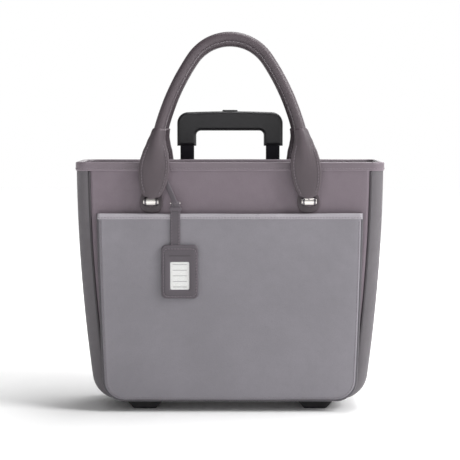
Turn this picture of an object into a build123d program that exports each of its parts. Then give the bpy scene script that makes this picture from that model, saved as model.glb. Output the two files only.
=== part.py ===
from build123d import *
import os
from math import cos, radians, sin

# A rolling laptop tote: a soft leather shell with two carrying handles, a front
# slip pocket, a telescopic trolley and two wheels behind, and a luggage tag.
# X runs across the bag, -Y is its front, Z is up and the ground is at Z = 0.

# ------------------------------------------------------------ bag shell
top_width = 420.0
bottom_width = 370.0
side_bulge = 6.0
body_height = 328.0
body_depth = 130.0
ground_clearance = 14.0
corner_radius = 38.0
edge_radius = 16.0
wall = 3.0
piping_width = 3.0
piping_proud = 1.5
seam_margin = 1.0
board_thickness = 3.0
lining_thickness = 1.0
binding_thickness = 1.2
binding_height = 12.0

# ------------------------------------------------------------ pockets and sleeve
pocket_top_width = 362.0
pocket_bottom_width = 346.0
pocket_depth = 12.0
pocket_drop = 69.0
pocket_corner_radius = 30.0
pocket_bulge = 1.0
pocket_lift = 0.8
pocket_wall = 2.5
pocket_binding_height = 8.0
pocket_binding_proud = 0.8
sleeve_pad = 5.0
sleeve_slot = 26.0
sleeve_drop = 30.0
sleeve_height = 236.0
sleeve_side_gap = 3.0
organiser_width = 190.0
organiser_height = 115.0
organiser_depth = 9.0
organiser_wall = 1.5
organiser_drop = 77.0
base_board_thickness = 3.0
base_board_margin = 1.0
strap_width = 38.0
strap_thickness = 2.0
strap_drop = 42.0
strap_gap = 0.5
strap_pivot_gap = 2.5

# ------------------------------------------------------------ carrying handles
arch_radius = 62.0
arch_angle = 56.0
leg_radius = 320.0
leg_end_angle = 86.0
grip_diameter = 14.0
handle_height = 222.0
handle_pin_drop = 53.0
handle_foot_x = 107.0
front_standoff = 13.0
rear_standoff = 16.0
rear_lean = 6.5
tab_thickness = 9.0
tab_width = 40.0
tab_tip_width = 11.0
tab_length = 90.0
tab_widest = 55.0
tab_tilt = 5.6
tab_neck_length = 8.0
socket_diameter = 17.0
socket_start_angle = 76.0
ferrule_diameter = 11.0
ferrule_length = 12.0
pin_diameter = 5.0
pin_head_diameter = 7.5
pin_head_thickness = 1.2
running_clearance = 0.05
ear_thickness = 2.5
ear_radius = 5.5
ear_gap = 0.4
bracket_width = 27.0
bracket_height = 26.0
bracket_corner = 9.0
bracket_thickness = 2.0
rivet_diameter = 3.0
rivet_head_diameter = 5.6
rivet_head_height = 1.4
rivet_spacing = 18.0

# ------------------------------------------------------------ trolley
tube_spacing = 124.0
tube_y = 16.5
tube_wall = 1.2
tube_radius = 3.0
outer_tube_width = 26.8
outer_tube_depth = 17.8
slide_gap = 0.5
stage_gap = 0.3
outer_tube_bottom = 47.0
cover_side_gap = 1.6
cover_thickness = 2.0
cover_bottom = 37.0
cover_radius = 6.0
bezel_height = 12.0
bezel_hole_gap = 0.4
foot_bracket_height = 12.0
stage_step = 4.0
lock_block_height = 16.0
collar_width = 27.0
collar_depth = 18.0
collar_height = 11.0
collar_lip = 3.0
grip_width = 153.0
grip_depth = 23.0
grip_front_y = 8.5
grip_top = 411.0
grip_bar_height = 28.0
grip_leg_width = 27.5
grip_leg_bottom = 361.0
grip_crown = 2.0
grip_corner_radius = 16.0
grip_inner_radius = 7.0
grip_edge_radius = 5.0
inner_tube_top = 388.0
button_width = 22.0
button_depth = 10.0
button_proud = 2.0
button_gap = 0.3
button_travel = 3.0
yoke_height = 6.0
yoke_depth = 6.0
yoke_top_drop = 11.0
rod_diameter = 4.0
spring_radius = 3.0
spring_wire = 0.8
spring_height = 3.6
spring_turns = 2.5

# ------------------------------------------------------------ wheels and feet
wheel_x = 122.0
wheel_diameter = 60.0
wheel_width = 22.0
tyre_thickness = 8.0
tyre_edge_radius = 5.0
bearing_outer = 22.0
bearing_width = 7.0
hub_shoulder = 2.0
hub_recess = 5.0
hub_rim = 4.0
axle_diameter = 8.0
wheel_side_gap = 1.5
wheel_arch_gap = 3.5
cheek_thickness = 4.0
housing_front_room = 8.0
housing_front = wheel_diameter / 2 + housing_front_room
housing_rear = 12.0
housing_headroom = 10.0
housing_top = wheel_diameter + housing_headroom
housing_fit = 0.2
flange_width = 50.0
flange_bottom = 38.0
flange_top = 84.0
flange_thickness = 2.5
screw_head_diameter = 6.0
screw_head_height = 1.6
screw_diameter = 3.0
screw_inset = 4.5
foot_x = 118.0
foot_top_width = 54.0
foot_slope = 49.0
foot_depth = 28.0
foot_edge_radius = 3.0
foot_set_back = 1.0
foot_screw_spacing = 18.0
foot_screw_recess = 3.0
foot_screw_head = 7.0
foot_screw_diameter = 4.0

# ------------------------------------------------------------ luggage tag
tag_x = -74.0
tag_pivot_drop = 55.0
tag_gap = 0.5
tag_strap_width = 14.0
tag_strap_thickness = 2.4
tag_strap_length = 63.0
tag_bar_diameter = 2.0
tag_barrel_diameter = 4.2
tag_barrel_gap = 0.3
tag_loop_width = 5.0
tag_loop_thickness = 2.0
loop_neck = 3.6
loop_bow = 1.5
loop_barrel_length = 8.0
loop_barrel_diameter = 5.2
tag_keeper_height = 5.0
tag_keeper_thickness = 1.2
tag_keeper_drop = 3.0
holder_x = -68.0
holder_width = 50.0
holder_height = 73.0
holder_thickness = 5.0
holder_drop = 56.5
holder_radius = 4.0
window_width = 26.0
window_height = 38.0
window_bottom = 12.0
window_depth = 1.6
card_thickness = 0.6
window_thickness = 1.2
anchor_x = -91.0
anchor_drop = 12.0
anchor_standoff = 4.5
anchor_bar_diameter = 2.6
anchor_width = 10.0
anchor_ear = 1.6
anchor_plate_height = 10.0
anchor_plate_thickness = 1.2

# ------------------------------------------------------------ derived places
rim_z = ground_clearance + body_height
shell_top = rim_z - binding_thickness
binding_bottom = rim_z - binding_height
front_reach = front_standoff + socket_diameter / 2
rear_reach = wheel_diameter / 2
front_y = (front_reach - rear_reach - body_depth) / 2
back_y = front_y + body_depth
panel_inset = edge_radius + seam_margin + piping_width
inner_front_y = front_y + wall + lining_thickness
inner_back_y = back_y - wall - board_thickness - lining_thickness
pin_z = rim_z - handle_pin_drop
axle_z = wheel_diameter / 2
tube_centre_y = back_y + tube_y
pocket_y = front_y - pocket_depth
pocket_top = rim_z - pocket_drop
foot_y = front_y + edge_radius + foot_set_back + foot_depth / 2
housing_half = wheel_width / 2 + wheel_side_gap + cheek_thickness
sides = (-1, 1)

os.makedirs("parts", exist_ok=True)


def save(piece, name):
    """Label a finished piece and write it as one STEP file."""
    piece.part.label = name
    export_step(piece.part, f"parts/{name}.step")


def upright(y):
    """Plane facing the front at depth y, with X across and Z up."""
    return Plane.XZ.offset(-y)


def tapered_outline(top_half, bottom_half, bulge, bottom, top, radius):
    """Front view of a bag: bowed sides, flat bottom with rounded corners."""
    middle = ((top_half + bottom_half) / 2 + bulge, (top + bottom) / 2)
    with BuildSketch() as outline:
        with BuildLine():
            Line((-bottom_half, bottom), (bottom_half, bottom))
            ThreePointArc((bottom_half, bottom), middle, (top_half, top))
            Line((top_half, top), (-top_half, top))
            ThreePointArc((-top_half, top), (-middle[0], middle[1]), (-bottom_half, bottom))
        make_face()
        fillet(outline.vertices().group_by(Axis.Y)[0], radius)
    return outline.sketch


def bag_outline(inset):
    """The bag's front outline, drawn in by inset at the sides and bottom."""
    return tapered_outline(
        top_width / 2 - inset,
        bottom_width / 2 - inset,
        side_bulge,
        ground_clearance + inset,
        shell_top,
        corner_radius - inset,
    )


def pocket_outline(inset, lift, top):
    """The front pocket's outline, drawn in at the sides and lifted at the bottom."""
    return tapered_outline(
        pocket_top_width / 2 - inset,
        pocket_bottom_width / 2 - inset,
        pocket_bulge,
        ground_clearance + pocket_lift + lift,
        top,
        pocket_corner_radius - inset,
    )


def bag_block(inset, near_y, far_y, rounding):
    """A closed block of the bag's outline, rounded towards front and back."""
    with BuildPart() as block:
        with BuildSketch(upright(near_y)):
            add(bag_outline(inset))
        extrude(amount=near_y - far_y)
        rims = block.faces().filter_by(Axis.Y).edges()
        fillet(rims.filter_by(lambda edge: edge.center().Z < shell_top - wall), rounding)
    return block.part


def housing_envelopes(gap):
    """The two boxes that the wheel housings take out of the shell, with a gap."""
    width = 2 * (housing_half + gap)
    depth = housing_front + housing_rear + 2 * gap
    middle_y = back_y + (housing_rear - housing_front) / 2
    with BuildPart() as boxes:
        with Locations(*[(side * wheel_x, middle_y, 0) for side in sides]):
            Box(width, depth, housing_top + gap, align=(Align.CENTER, Align.CENTER, Align.MIN))
    return boxes.part


def rivet_places():
    """Rivet centres on the front and back panels, as X and Z pairs."""
    return [
        (side * handle_foot_x, pin_z + row * rivet_spacing / 2)
        for side in sides
        for row in sides
    ]


def flange_screw_places(side):
    """Centres of one housing's flange screws, as X and Z pairs."""
    across = flange_width / 2 - screw_inset
    return [
        (side * wheel_x + column * across, row)
        for column in sides
        for row in (flange_bottom + screw_inset, flange_top - screw_inset)
    ]


# ------------------------------------------------------------ shell panels
inner_rounding = edge_radius - wall
lining_rounding = inner_rounding - lining_thickness
outer_block = bag_block(0, front_y, back_y, edge_radius)
inner_block = bag_block(wall, front_y + wall, back_y - wall, inner_rounding)
lining_block = bag_block(wall, front_y + wall, inner_back_y + lining_thickness, inner_rounding)
cavity_block = bag_block(
    wall + lining_thickness, inner_front_y, inner_back_y, lining_rounding
)

with BuildPart() as front_panel:
    with BuildSketch(upright(front_y)):
        add(bag_outline(panel_inset))
    extrude(amount=-wall)
    with BuildSketch(upright(front_y)):
        with Locations(*rivet_places()):
            Circle(rivet_diameter / 2)
    extrude(amount=-wall, mode=Mode.SUBTRACT)
save(front_panel, "front_panel")

with BuildPart() as back_panel:
    with BuildSketch(upright(back_y)):
        add(bag_outline(panel_inset))
    extrude(amount=wall)
    with BuildSketch(upright(back_y)):
        with Locations(*rivet_places()):
            Circle(rivet_diameter / 2)
        with Locations(*flange_screw_places(-1), *flange_screw_places(1)):
            Circle(screw_diameter / 2)
    extrude(amount=wall, mode=Mode.SUBTRACT)
    add(housing_envelopes(housing_fit), mode=Mode.SUBTRACT)
save(back_panel, "back_panel")

with BuildPart() as back_board:
    with BuildSketch(upright(back_y - wall)):
        add(bag_outline(panel_inset + lining_thickness))
    extrude(amount=board_thickness)
    add(housing_envelopes(housing_fit), mode=Mode.SUBTRACT)
save(back_board, "back_board")

with BuildPart() as side_gusset:
    add(outer_block)
    add(inner_block, mode=Mode.SUBTRACT)
    with BuildSketch(upright(front_y)):
        add(bag_outline(panel_inset - piping_width))
    extrude(amount=-body_depth, mode=Mode.SUBTRACT)
    add(housing_envelopes(housing_fit), mode=Mode.SUBTRACT)
    with BuildSketch(Plane.XY.offset(ground_clearance)):
        for side in sides:
            with Locations((side * foot_x, foot_y)):
                with GridLocations(foot_screw_spacing, 0, 2, 1):
                    Circle(foot_screw_diameter / 2)
    extrude(amount=wall, mode=Mode.SUBTRACT)
save(side_gusset, "side_gusset")


def piping(face_y, inward):
    """U-shaped piping in the seam between a panel and the gusset."""
    with BuildPart() as cord:
        with BuildSketch(upright(face_y - inward * piping_proud)):
            add(bag_outline(panel_inset - piping_width))
            add(bag_outline(panel_inset), mode=Mode.SUBTRACT)
        extrude(amount=-inward * (piping_proud + wall))
        outer_face = cord.faces().filter_by(Axis.Y).sort_by(Axis.Y)[0 if inward > 0 else -1]
        fillet(outer_face.edges().filter_by(GeomType.LINE, reverse=True), piping_width * 0.4)
        split(bisect_by=Plane.XY.offset(binding_bottom), keep=Keep.BOTTOM)
        add(housing_envelopes(housing_fit), mode=Mode.SUBTRACT)
    return cord


front_piping = piping(front_y, 1)
save(front_piping, "front_piping")
rear_piping = piping(back_y, -1)
save(rear_piping, "rear_piping")

with BuildPart() as lining:
    add(lining_block)
    add(housing_envelopes(housing_fit), mode=Mode.SUBTRACT)
    with BuildPart(mode=Mode.PRIVATE) as free_space:
        add(cavity_block)
        add(housing_envelopes(housing_fit + lining_thickness), mode=Mode.SUBTRACT)
    add(free_space.part, mode=Mode.SUBTRACT)
save(lining, "lining")


# ------------------------------------------------------------ rim and pockets
with BuildPart() as bag_walls:
    add(outer_block)
    add(cavity_block, mode=Mode.SUBTRACT)

with BuildPart() as rim_binding:
    with BuildSketch(Plane.XY.offset(binding_bottom)):
        with Locations((0, (front_y + back_y) / 2)):
            RectangleRounded(
                top_width + 2 * binding_thickness,
                body_depth + 2 * binding_thickness,
                edge_radius + binding_thickness,
            )
        with Locations((0, (inner_front_y + inner_back_y) / 2)):
            RectangleRounded(
                top_width - 2 * (wall + lining_thickness + binding_thickness),
                inner_back_y - inner_front_y - 2 * binding_thickness,
                lining_rounding - binding_thickness,
                mode=Mode.SUBTRACT,
            )
    extrude(amount=binding_height)
    add(bag_walls.part, mode=Mode.SUBTRACT)
save(rim_binding, "rim_binding")

with BuildPart() as front_pocket:
    with BuildSketch(upright(pocket_y)):
        add(pocket_outline(0, 0, pocket_top - pocket_binding_proud))
    extrude(amount=-(pocket_depth + edge_radius))
    add(outer_block, mode=Mode.SUBTRACT)
    add(front_piping.part, mode=Mode.SUBTRACT)
    with BuildSketch(upright(pocket_y + pocket_wall)):
        add(pocket_outline(pocket_wall, edge_radius + pocket_wall, rim_z))
    extrude(amount=-(pocket_depth - pocket_wall), mode=Mode.SUBTRACT)
save(front_pocket, "front_pocket")

with BuildPart() as pocket_binding:
    with BuildSketch(upright(pocket_y - pocket_binding_proud)):
        with Locations((0, pocket_top)):
            Rectangle(
                pocket_top_width - 2 * pocket_binding_proud,
                pocket_binding_height,
                align=(Align.CENTER, Align.MAX),
            )
    extrude(amount=-(pocket_wall + 2 * pocket_binding_proud))
    add(front_pocket.part, mode=Mode.SUBTRACT)
save(pocket_binding, "pocket_binding")

# ------------------------------------------------------------ inside the bag
floor_z = ground_clearance + wall + lining_thickness
board_half = bottom_width / 2 - corner_radius
board_front = inner_front_y + lining_rounding + base_board_margin
board_back = inner_back_y - lining_rounding - base_board_margin
sleeve_top = rim_z - sleeve_drop
sleeve_bottom = sleeve_top - sleeve_height
sleeve_front = inner_back_y - sleeve_slot - sleeve_pad
sleeve_inset = wall + lining_thickness + sleeve_side_gap
organiser_top = rim_z - organiser_drop
pivot_y = inner_back_y - strap_pivot_gap
pivot_z = sleeve_top + strap_gap + strap_thickness / 2

with BuildPart() as base_board:
    with BuildSketch(Plane.XY.offset(floor_z)):
        with Locations((0, (board_front + board_back) / 2)):
            RectangleRounded(2 * board_half, board_back - board_front, lining_rounding)
    extrude(amount=base_board_thickness)
    add(
        housing_envelopes(housing_fit + lining_thickness + base_board_margin),
        mode=Mode.SUBTRACT,
    )
save(base_board, "base_board")

with BuildPart() as laptop_sleeve:
    with BuildSketch(upright(sleeve_front)):
        add(bag_outline(sleeve_inset))
        with Locations((0, sleeve_bottom)):
            Rectangle(
                top_width,
                sleeve_height,
                align=(Align.CENTER, Align.MIN),
                mode=Mode.INTERSECT,
            )
    extrude(amount=sleeve_front - inner_back_y)
    sleeve_hem = laptop_sleeve.edges().filter_by(Axis.X).group_by(Axis.Z)[0]
    fillet(sleeve_hem.sort_by(Axis.Y)[0], sleeve_pad / 2)
    with BuildSketch(upright(sleeve_front + sleeve_pad)):
        add(bag_outline(sleeve_inset + sleeve_pad))
        with Locations((0, sleeve_bottom + sleeve_pad)):
            Rectangle(
                top_width,
                sleeve_height,
                align=(Align.CENTER, Align.MIN),
                mode=Mode.INTERSECT,
            )
    extrude(amount=-sleeve_slot, mode=Mode.SUBTRACT)
    add(bag_walls.part, mode=Mode.SUBTRACT)
save(laptop_sleeve, "laptop_sleeve")

with BuildPart() as organiser_pocket:
    with BuildSketch(upright(inner_front_y)):
        with Locations((0, organiser_top - organiser_height / 2)):
            Rectangle(organiser_width, organiser_height)
    extrude(amount=-organiser_depth)
    with BuildSketch(upright(inner_front_y)):
        with Locations((0, organiser_top - organiser_height / 2 + organiser_wall)):
            Rectangle(organiser_width - 2 * organiser_wall, organiser_height)
    extrude(amount=-(organiser_depth - organiser_wall), mode=Mode.SUBTRACT)
save(organiser_pocket, "organiser_pocket")

with BuildPart() as sleeve_strap:
    with BuildSketch(Plane.YZ.offset(-strap_width / 2)):
        with BuildLine():
            FilletPolyline(
                (pivot_y, pivot_z),
                (sleeve_front - strap_gap - strap_thickness / 2, pivot_z),
                (sleeve_front - strap_gap - strap_thickness / 2, pivot_z - strap_drop),
                radius=strap_thickness,
            )
        trace(line_width=strap_thickness)
    extrude(amount=strap_width)
save(sleeve_strap, "sleeve_strap")

# ------------------------------------------------------------ carrying handles
front_handle_plane = Plane(
    origin=(0, front_y - front_standoff, pin_z), x_dir=(1, 0, 0), z_dir=(0, -1, 0)
)
rear_handle_plane = Plane(
    origin=(0, back_y + rear_standoff, pin_z),
    x_dir=(-1, 0, 0),
    z_dir=(0, cos(radians(rear_lean)), sin(radians(rear_lean))),
)


def leg_point(side, angle):
    """Point of the handle's centre line where its leg has turned by angle from level."""
    turn = radians(angle)
    start = radians(arch_angle)
    across = arch_radius * sin(start) + leg_radius * (sin(turn) - sin(start))
    drop = arch_radius * (1 - cos(start)) + leg_radius * (cos(start) - cos(turn))
    return (side * across, handle_height - drop)


def leg_arc(side, first, last):
    """Arc of the leg's centre line between two slopes."""
    return ThreePointArc(
        leg_point(side, first), leg_point(side, (first + last) / 2), leg_point(side, last)
    )


def make_handle(name, plane):
    """Rolled grip, two leaf-shaped tabs and the metal ferrules that take the pins."""
    with BuildPart() as grip:
        with BuildLine(plane) as path:
            leg_arc(-1, leg_end_angle, arch_angle)
            ThreePointArc(leg_point(-1, arch_angle), (0, handle_height), leg_point(1, arch_angle))
            leg_arc(1, arch_angle, leg_end_angle)
        centre_line = path.wire()
        with BuildSketch(Plane(origin=centre_line @ 0, z_dir=centre_line % 0)):
            Circle(grip_diameter / 2)
        sweep(path=centre_line)
    save(grip, f"{name}_handle_grip")

    with BuildPart() as ferrules:
        for side in sides:
            foot = plane.from_local_coords(Vector(side * handle_foot_x, 0, 0))
            with BuildSketch(Plane(origin=foot, x_dir=plane.z_dir, z_dir=plane.x_dir)):
                Circle(ferrule_diameter / 2)
                Circle(pin_diameter / 2 + running_clearance, mode=Mode.SUBTRACT)
            extrude(amount=ferrule_length / 2, both=True)
    save(ferrules, f"{name}_handle_ferrules")

    for side in sides:
        foot = plane.from_local_coords(Vector(side * handle_foot_x, 0, 0))
        leaf_plane = Plane(origin=foot, x_dir=plane.x_dir, z_dir=plane.z_dir)
        leaf_plane = leaf_plane.rotated((0, 0, side * tab_tilt))
        with BuildPart() as tab:
            with BuildSketch(leaf_plane):
                with BuildLine():
                    Polyline(
                        (0, 0), (tab_tip_width / 2, 0), (tab_tip_width / 2, tab_neck_length)
                    )
                    Spline(
                        (tab_tip_width / 2, tab_neck_length),
                        (tab_width / 2, tab_widest),
                        (socket_diameter / 2, tab_length),
                        tangents=((0.3, 1), (-0.1, 1)),
                    )
                    Line((socket_diameter / 2, tab_length), (0, tab_length))
                    mirror(about=Plane.YZ)
                make_face()
            extrude(amount=tab_thickness / 2, both=True)
            with BuildLine(plane) as socket_path:
                leg_arc(side, socket_start_angle, leg_end_angle)
            socket_line = socket_path.wire()
            with BuildSketch(Plane(origin=socket_line @ 0, z_dir=socket_line % 0)):
                Circle(socket_diameter / 2)
            sweep(path=socket_line)
            add(grip.part, mode=Mode.SUBTRACT)
            with BuildSketch(Plane(origin=foot, x_dir=plane.z_dir, z_dir=plane.x_dir)):
                Circle(ferrule_diameter / 2)
            extrude(amount=tab_width, both=True, mode=Mode.SUBTRACT)
        place = "left" if side * plane.x_dir.X < 0 else "right"
        save(tab, f"{name}_handle_tab_{place}")


make_handle("front", front_handle_plane)
make_handle("rear", rear_handle_plane)

# Each panel that carries a handle: its face, the way it faces, and the stand-off.
handle_faces = ((front_y, -1, front_standoff), (back_y, 1, rear_standoff))
ear_inner = ferrule_length / 2 + ear_gap
pin_length = 2 * (ear_inner + ear_thickness)

with BuildPart() as handle_brackets:
    for face_y, outward, standoff in handle_faces:
        for side in sides:
            with BuildSketch(upright(face_y)):
                with Locations((side * handle_foot_x, pin_z)):
                    RectangleRounded(bracket_width, bracket_height, bracket_corner)
            extrude(amount=-outward * bracket_thickness)
            for ear_side in sides:
                ear_x = side * handle_foot_x + ear_side * (ear_inner + ear_thickness / 2)
                with BuildSketch(Plane.YZ.offset(ear_x)):
                    with Locations((face_y + outward * standoff / 2, pin_z)):
                        Rectangle(standoff, 2 * ear_radius)
                    with Locations((face_y + outward * standoff, pin_z)):
                        Circle(ear_radius)
                        Circle(pin_diameter / 2, mode=Mode.SUBTRACT)
                extrude(amount=ear_thickness / 2, both=True)
        with BuildSketch(upright(face_y)):
            with Locations(*rivet_places()):
                Circle(rivet_diameter / 2)
        extrude(amount=-outward * bracket_thickness, mode=Mode.SUBTRACT)
save(handle_brackets, "handle_brackets")

with BuildPart() as handle_pins:
    for face_y, outward, standoff in handle_faces:
        for side in sides:
            centre = (side * handle_foot_x, face_y + outward * standoff, pin_z)
            with Locations(Location(centre, (0, 90, 0))):
                Cylinder(pin_diameter / 2, pin_length)
                with Locations(*[(0, 0, end * (pin_length + pin_head_thickness) / 2) for end in sides]):
                    Cylinder(pin_head_diameter / 2, pin_head_thickness)
save(handle_pins, "handle_pins")

with BuildPart() as handle_rivets:
    for face_y, outward, standoff in handle_faces:
        with BuildSketch(upright(face_y - outward * wall)):
            with Locations(*rivet_places()):
                Circle(rivet_diameter / 2)
        extrude(amount=-outward * (wall + bracket_thickness))
        with BuildSketch(upright(face_y + outward * bracket_thickness)):
            with Locations(*rivet_places()):
                Circle(rivet_head_diameter / 2)
        extrude(amount=-outward * rivet_head_height)
save(handle_rivets, "handle_rivets")

# ------------------------------------------------------------ trolley, fixed part
cover_width = tube_spacing + outer_tube_width + 2 * (cover_side_gap + cover_thickness)
cover_depth = tube_y + outer_tube_depth / 2 + ear_gap / 2 + cover_thickness
bezel_top = binding_bottom
bezel_bottom = bezel_top - bezel_height
outer_tube_top = bezel_top - collar_lip
tube_places = [(side * tube_spacing / 2, tube_centre_y) for side in sides]
middle_tube_width = outer_tube_width - 2 * (tube_wall + slide_gap)
middle_tube_depth = outer_tube_depth - 2 * (tube_wall + slide_gap)
inner_tube_width = middle_tube_width - 2 * (tube_wall + slide_gap)
inner_tube_depth = middle_tube_depth - 2 * (tube_wall + slide_gap)


def tube_section(width, depth, radius):
    """Two rounded rectangles, one at each trolley tube."""
    with BuildSketch() as section:
        with Locations(*tube_places):
            RectangleRounded(width, depth, radius)
    return section.sketch


def tube_pair(width, depth, bottom, top):
    """A pair of thin-walled tubes of the trolley."""
    with BuildPart() as pair:
        with BuildSketch(Plane.XY.offset(bottom)):
            add(tube_section(width, depth, tube_radius))
            bore = tube_section(width - 2 * tube_wall, depth - 2 * tube_wall, tube_radius - tube_wall)
            add(bore, mode=Mode.SUBTRACT)
        extrude(amount=top - bottom)
    return pair


def back_block(width, depth, bottom, top, radius):
    """Block standing against the back panel, its outer upright corners rounded."""
    with BuildPart() as block:
        with BuildSketch(Plane.XY.offset(bottom)):
            with Locations((0, back_y)):
                Rectangle(width, depth, align=(Align.CENTER, Align.MIN))
        extrude(amount=top - bottom)
        fillet(block.edges().filter_by(Axis.Z).group_by(Axis.Y)[-1], radius)
    return block.part


with BuildPart() as trolley_cover:
    add(back_block(cover_width, cover_depth, cover_bottom, bezel_bottom, cover_radius))
    hollow = back_block(
        cover_width - 2 * cover_thickness,
        cover_depth - cover_thickness,
        cover_bottom + cover_thickness,
        bezel_bottom,
        cover_radius - cover_thickness,
    )
    add(hollow, mode=Mode.SUBTRACT)
save(trolley_cover, "trolley_cover")

with BuildPart() as trolley_bezel:
    add(back_block(cover_width, cover_depth, bezel_bottom, bezel_top, cover_radius))
    with BuildSketch(Plane.XY.offset(bezel_bottom)):
        add(tube_section(outer_tube_width, outer_tube_depth, tube_radius))
    extrude(amount=outer_tube_top - bezel_bottom, mode=Mode.SUBTRACT)
    with BuildSketch(Plane.XY.offset(outer_tube_top)):
        hole_width = middle_tube_width + 2 * bezel_hole_gap
        hole_depth = middle_tube_depth + 2 * bezel_hole_gap
        add(tube_section(hole_width, hole_depth, tube_radius))
    extrude(amount=collar_lip, mode=Mode.SUBTRACT)
save(trolley_bezel, "trolley_bezel")

with BuildPart() as trolley_foot:
    add(
        back_block(
            cover_width - 2 * cover_thickness,
            cover_depth - cover_thickness,
            cover_bottom + cover_thickness,
            outer_tube_bottom + foot_bracket_height,
            cover_radius - cover_thickness,
        )
    )
    with BuildSketch(Plane.XY.offset(outer_tube_bottom)):
        add(tube_section(outer_tube_width, outer_tube_depth, tube_radius))
    extrude(amount=foot_bracket_height, mode=Mode.SUBTRACT)
save(trolley_foot, "trolley_foot_bracket")

save(
    tube_pair(outer_tube_width, outer_tube_depth, outer_tube_bottom, outer_tube_top),
    "trolley_outer_tubes",
)

# ------------------------------------------------------------ trolley, sliding stages
middle_bottom = outer_tube_bottom + stage_step
middle_tube_bottom = middle_bottom + lock_block_height
collar_bottom = bezel_top + bezel_hole_gap
collar_top = collar_bottom + collar_height
middle_tube_top = collar_top - collar_lip
inner_bottom = middle_tube_bottom + stage_step
inner_tube_bottom = inner_bottom + lock_block_height


def lock_blocks(tube_width, tube_depth, bottom):
    """Plastic guide blocks at the foot of a sliding stage, a small gap inside its tube."""
    width = tube_width - 2 * (tube_wall + stage_gap)
    depth = tube_depth - 2 * (tube_wall + stage_gap)
    with BuildPart() as blocks:
        with BuildSketch(Plane.XY.offset(bottom)):
            add(tube_section(width, depth, tube_radius - tube_wall))
        extrude(amount=lock_block_height)
    return blocks


save(
    tube_pair(middle_tube_width, middle_tube_depth, middle_tube_bottom, middle_tube_top),
    "trolley_middle_tubes",
)
save(lock_blocks(outer_tube_width, outer_tube_depth, middle_bottom), "middle_lock_blocks")

with BuildPart() as middle_collars:
    with BuildSketch(Plane.XY.offset(collar_bottom)):
        add(tube_section(collar_width, collar_depth, tube_radius))
    extrude(amount=collar_height)
    fillet(middle_collars.faces().sort_by(Axis.Z)[-2:].edges(), collar_lip / 3)
    with BuildSketch(Plane.XY.offset(collar_bottom)):
        add(tube_section(middle_tube_width, middle_tube_depth, tube_radius))
    extrude(amount=middle_tube_top - collar_bottom, mode=Mode.SUBTRACT)
    with BuildSketch(Plane.XY.offset(middle_tube_top)):
        hole_width = inner_tube_width + 2 * bezel_hole_gap
        hole_depth = inner_tube_depth + 2 * bezel_hole_gap
        add(tube_section(hole_width, hole_depth, tube_radius))
    extrude(amount=collar_lip, mode=Mode.SUBTRACT)
save(middle_collars, "middle_collars")

save(
    tube_pair(inner_tube_width, inner_tube_depth, inner_tube_bottom, inner_tube_top),
    "trolley_inner_tubes",
)
save(lock_blocks(middle_tube_width, middle_tube_depth, inner_bottom), "inner_lock_blocks")

# ------------------------------------------------------------ trolley grip and release
yoke_top = grip_top - yoke_top_drop
yoke_bottom = yoke_top - yoke_height
leg_inner = grip_width / 2 - grip_leg_width
grip_side_top = grip_top - grip_crown
spring_bottom = yoke_bottom - spring_height

with BuildPart() as grip_body:
    with BuildSketch(upright(back_y + grip_front_y)):
        with BuildLine():
            Polyline(
                (-grip_width / 2, grip_side_top),
                (-grip_width / 2, grip_leg_bottom),
                (-leg_inner, grip_leg_bottom),
                (-leg_inner, grip_top - grip_bar_height),
                (leg_inner, grip_top - grip_bar_height),
                (leg_inner, grip_leg_bottom),
                (grip_width / 2, grip_leg_bottom),
                (grip_width / 2, grip_side_top),
            )
            ThreePointArc(
                (grip_width / 2, grip_side_top), (0, grip_top), (-grip_width / 2, grip_side_top)
            )
        make_face()
    extrude(amount=-grip_depth)
    across = grip_body.edges().filter_by(Axis.Y)
    fillet(across.group_by(Axis.Z)[-1], grip_corner_radius)
    fillet(grip_body.edges().filter_by(Axis.Y).group_by(Axis.Z)[1], grip_inner_radius)
    fillet(grip_body.faces().filter_by(Axis.Y).edges(), grip_edge_radius)
    with BuildSketch(Plane.XY.offset(grip_leg_bottom)):
        add(tube_section(inner_tube_width, inner_tube_depth, tube_radius))
    extrude(amount=inner_tube_top - grip_leg_bottom, mode=Mode.SUBTRACT)
    with Locations((0, tube_centre_y, inner_tube_top)):
        Box(
            tube_spacing + inner_tube_width - 2 * tube_wall,
            yoke_depth + 2 * stage_gap + 1,
            yoke_top + stage_gap - inner_tube_top,
            align=(Align.CENTER, Align.CENTER, Align.MIN),
            mode=Mode.SUBTRACT,
        )
    with BuildSketch(Plane.XY.offset(inner_tube_top)):
        with Locations((0, tube_centre_y)):
            SlotOverall(button_width + 2 * button_gap, button_depth + 2 * button_gap)
    extrude(amount=grip_top, mode=Mode.SUBTRACT)
    with Locations((0, tube_centre_y, spring_bottom - button_travel - stage_gap)):
        Cylinder(
            spring_radius + spring_wire,
            button_travel + spring_height,
            align=(Align.CENTER, Align.CENTER, Align.MIN),
            mode=Mode.SUBTRACT,
        )

with BuildPart() as grip_front:
    add(grip_body)
    split(bisect_by=upright(tube_centre_y), keep=Keep.TOP)
save(grip_front, "grip_front_shell")

with BuildPart() as grip_rear:
    add(grip_body)
    split(bisect_by=upright(tube_centre_y), keep=Keep.BOTTOM)
save(grip_rear, "grip_rear_shell")

with BuildPart() as release_button:
    with BuildSketch(Plane.XY.offset(yoke_top)):
        with Locations((0, tube_centre_y)):
            SlotOverall(button_width, button_depth)
    extrude(amount=grip_top + button_proud - yoke_top)
    fillet(release_button.faces().sort_by(Axis.Z)[-1].edges(), button_proud / 2)
save(release_button, "release_button")

with BuildPart() as release_yoke:
    with Locations((0, tube_centre_y, yoke_bottom)):
        Box(
            tube_spacing + rod_diameter,
            yoke_depth,
            yoke_height,
            align=(Align.CENTER, Align.CENTER, Align.MIN),
        )
    with BuildSketch(Plane.XY.offset(inner_tube_bottom + button_travel + stage_gap)):
        with Locations(*tube_places):
            Circle(rod_diameter / 2)
    extrude(until=Until.NEXT)
save(release_yoke, "release_yoke")

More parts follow.
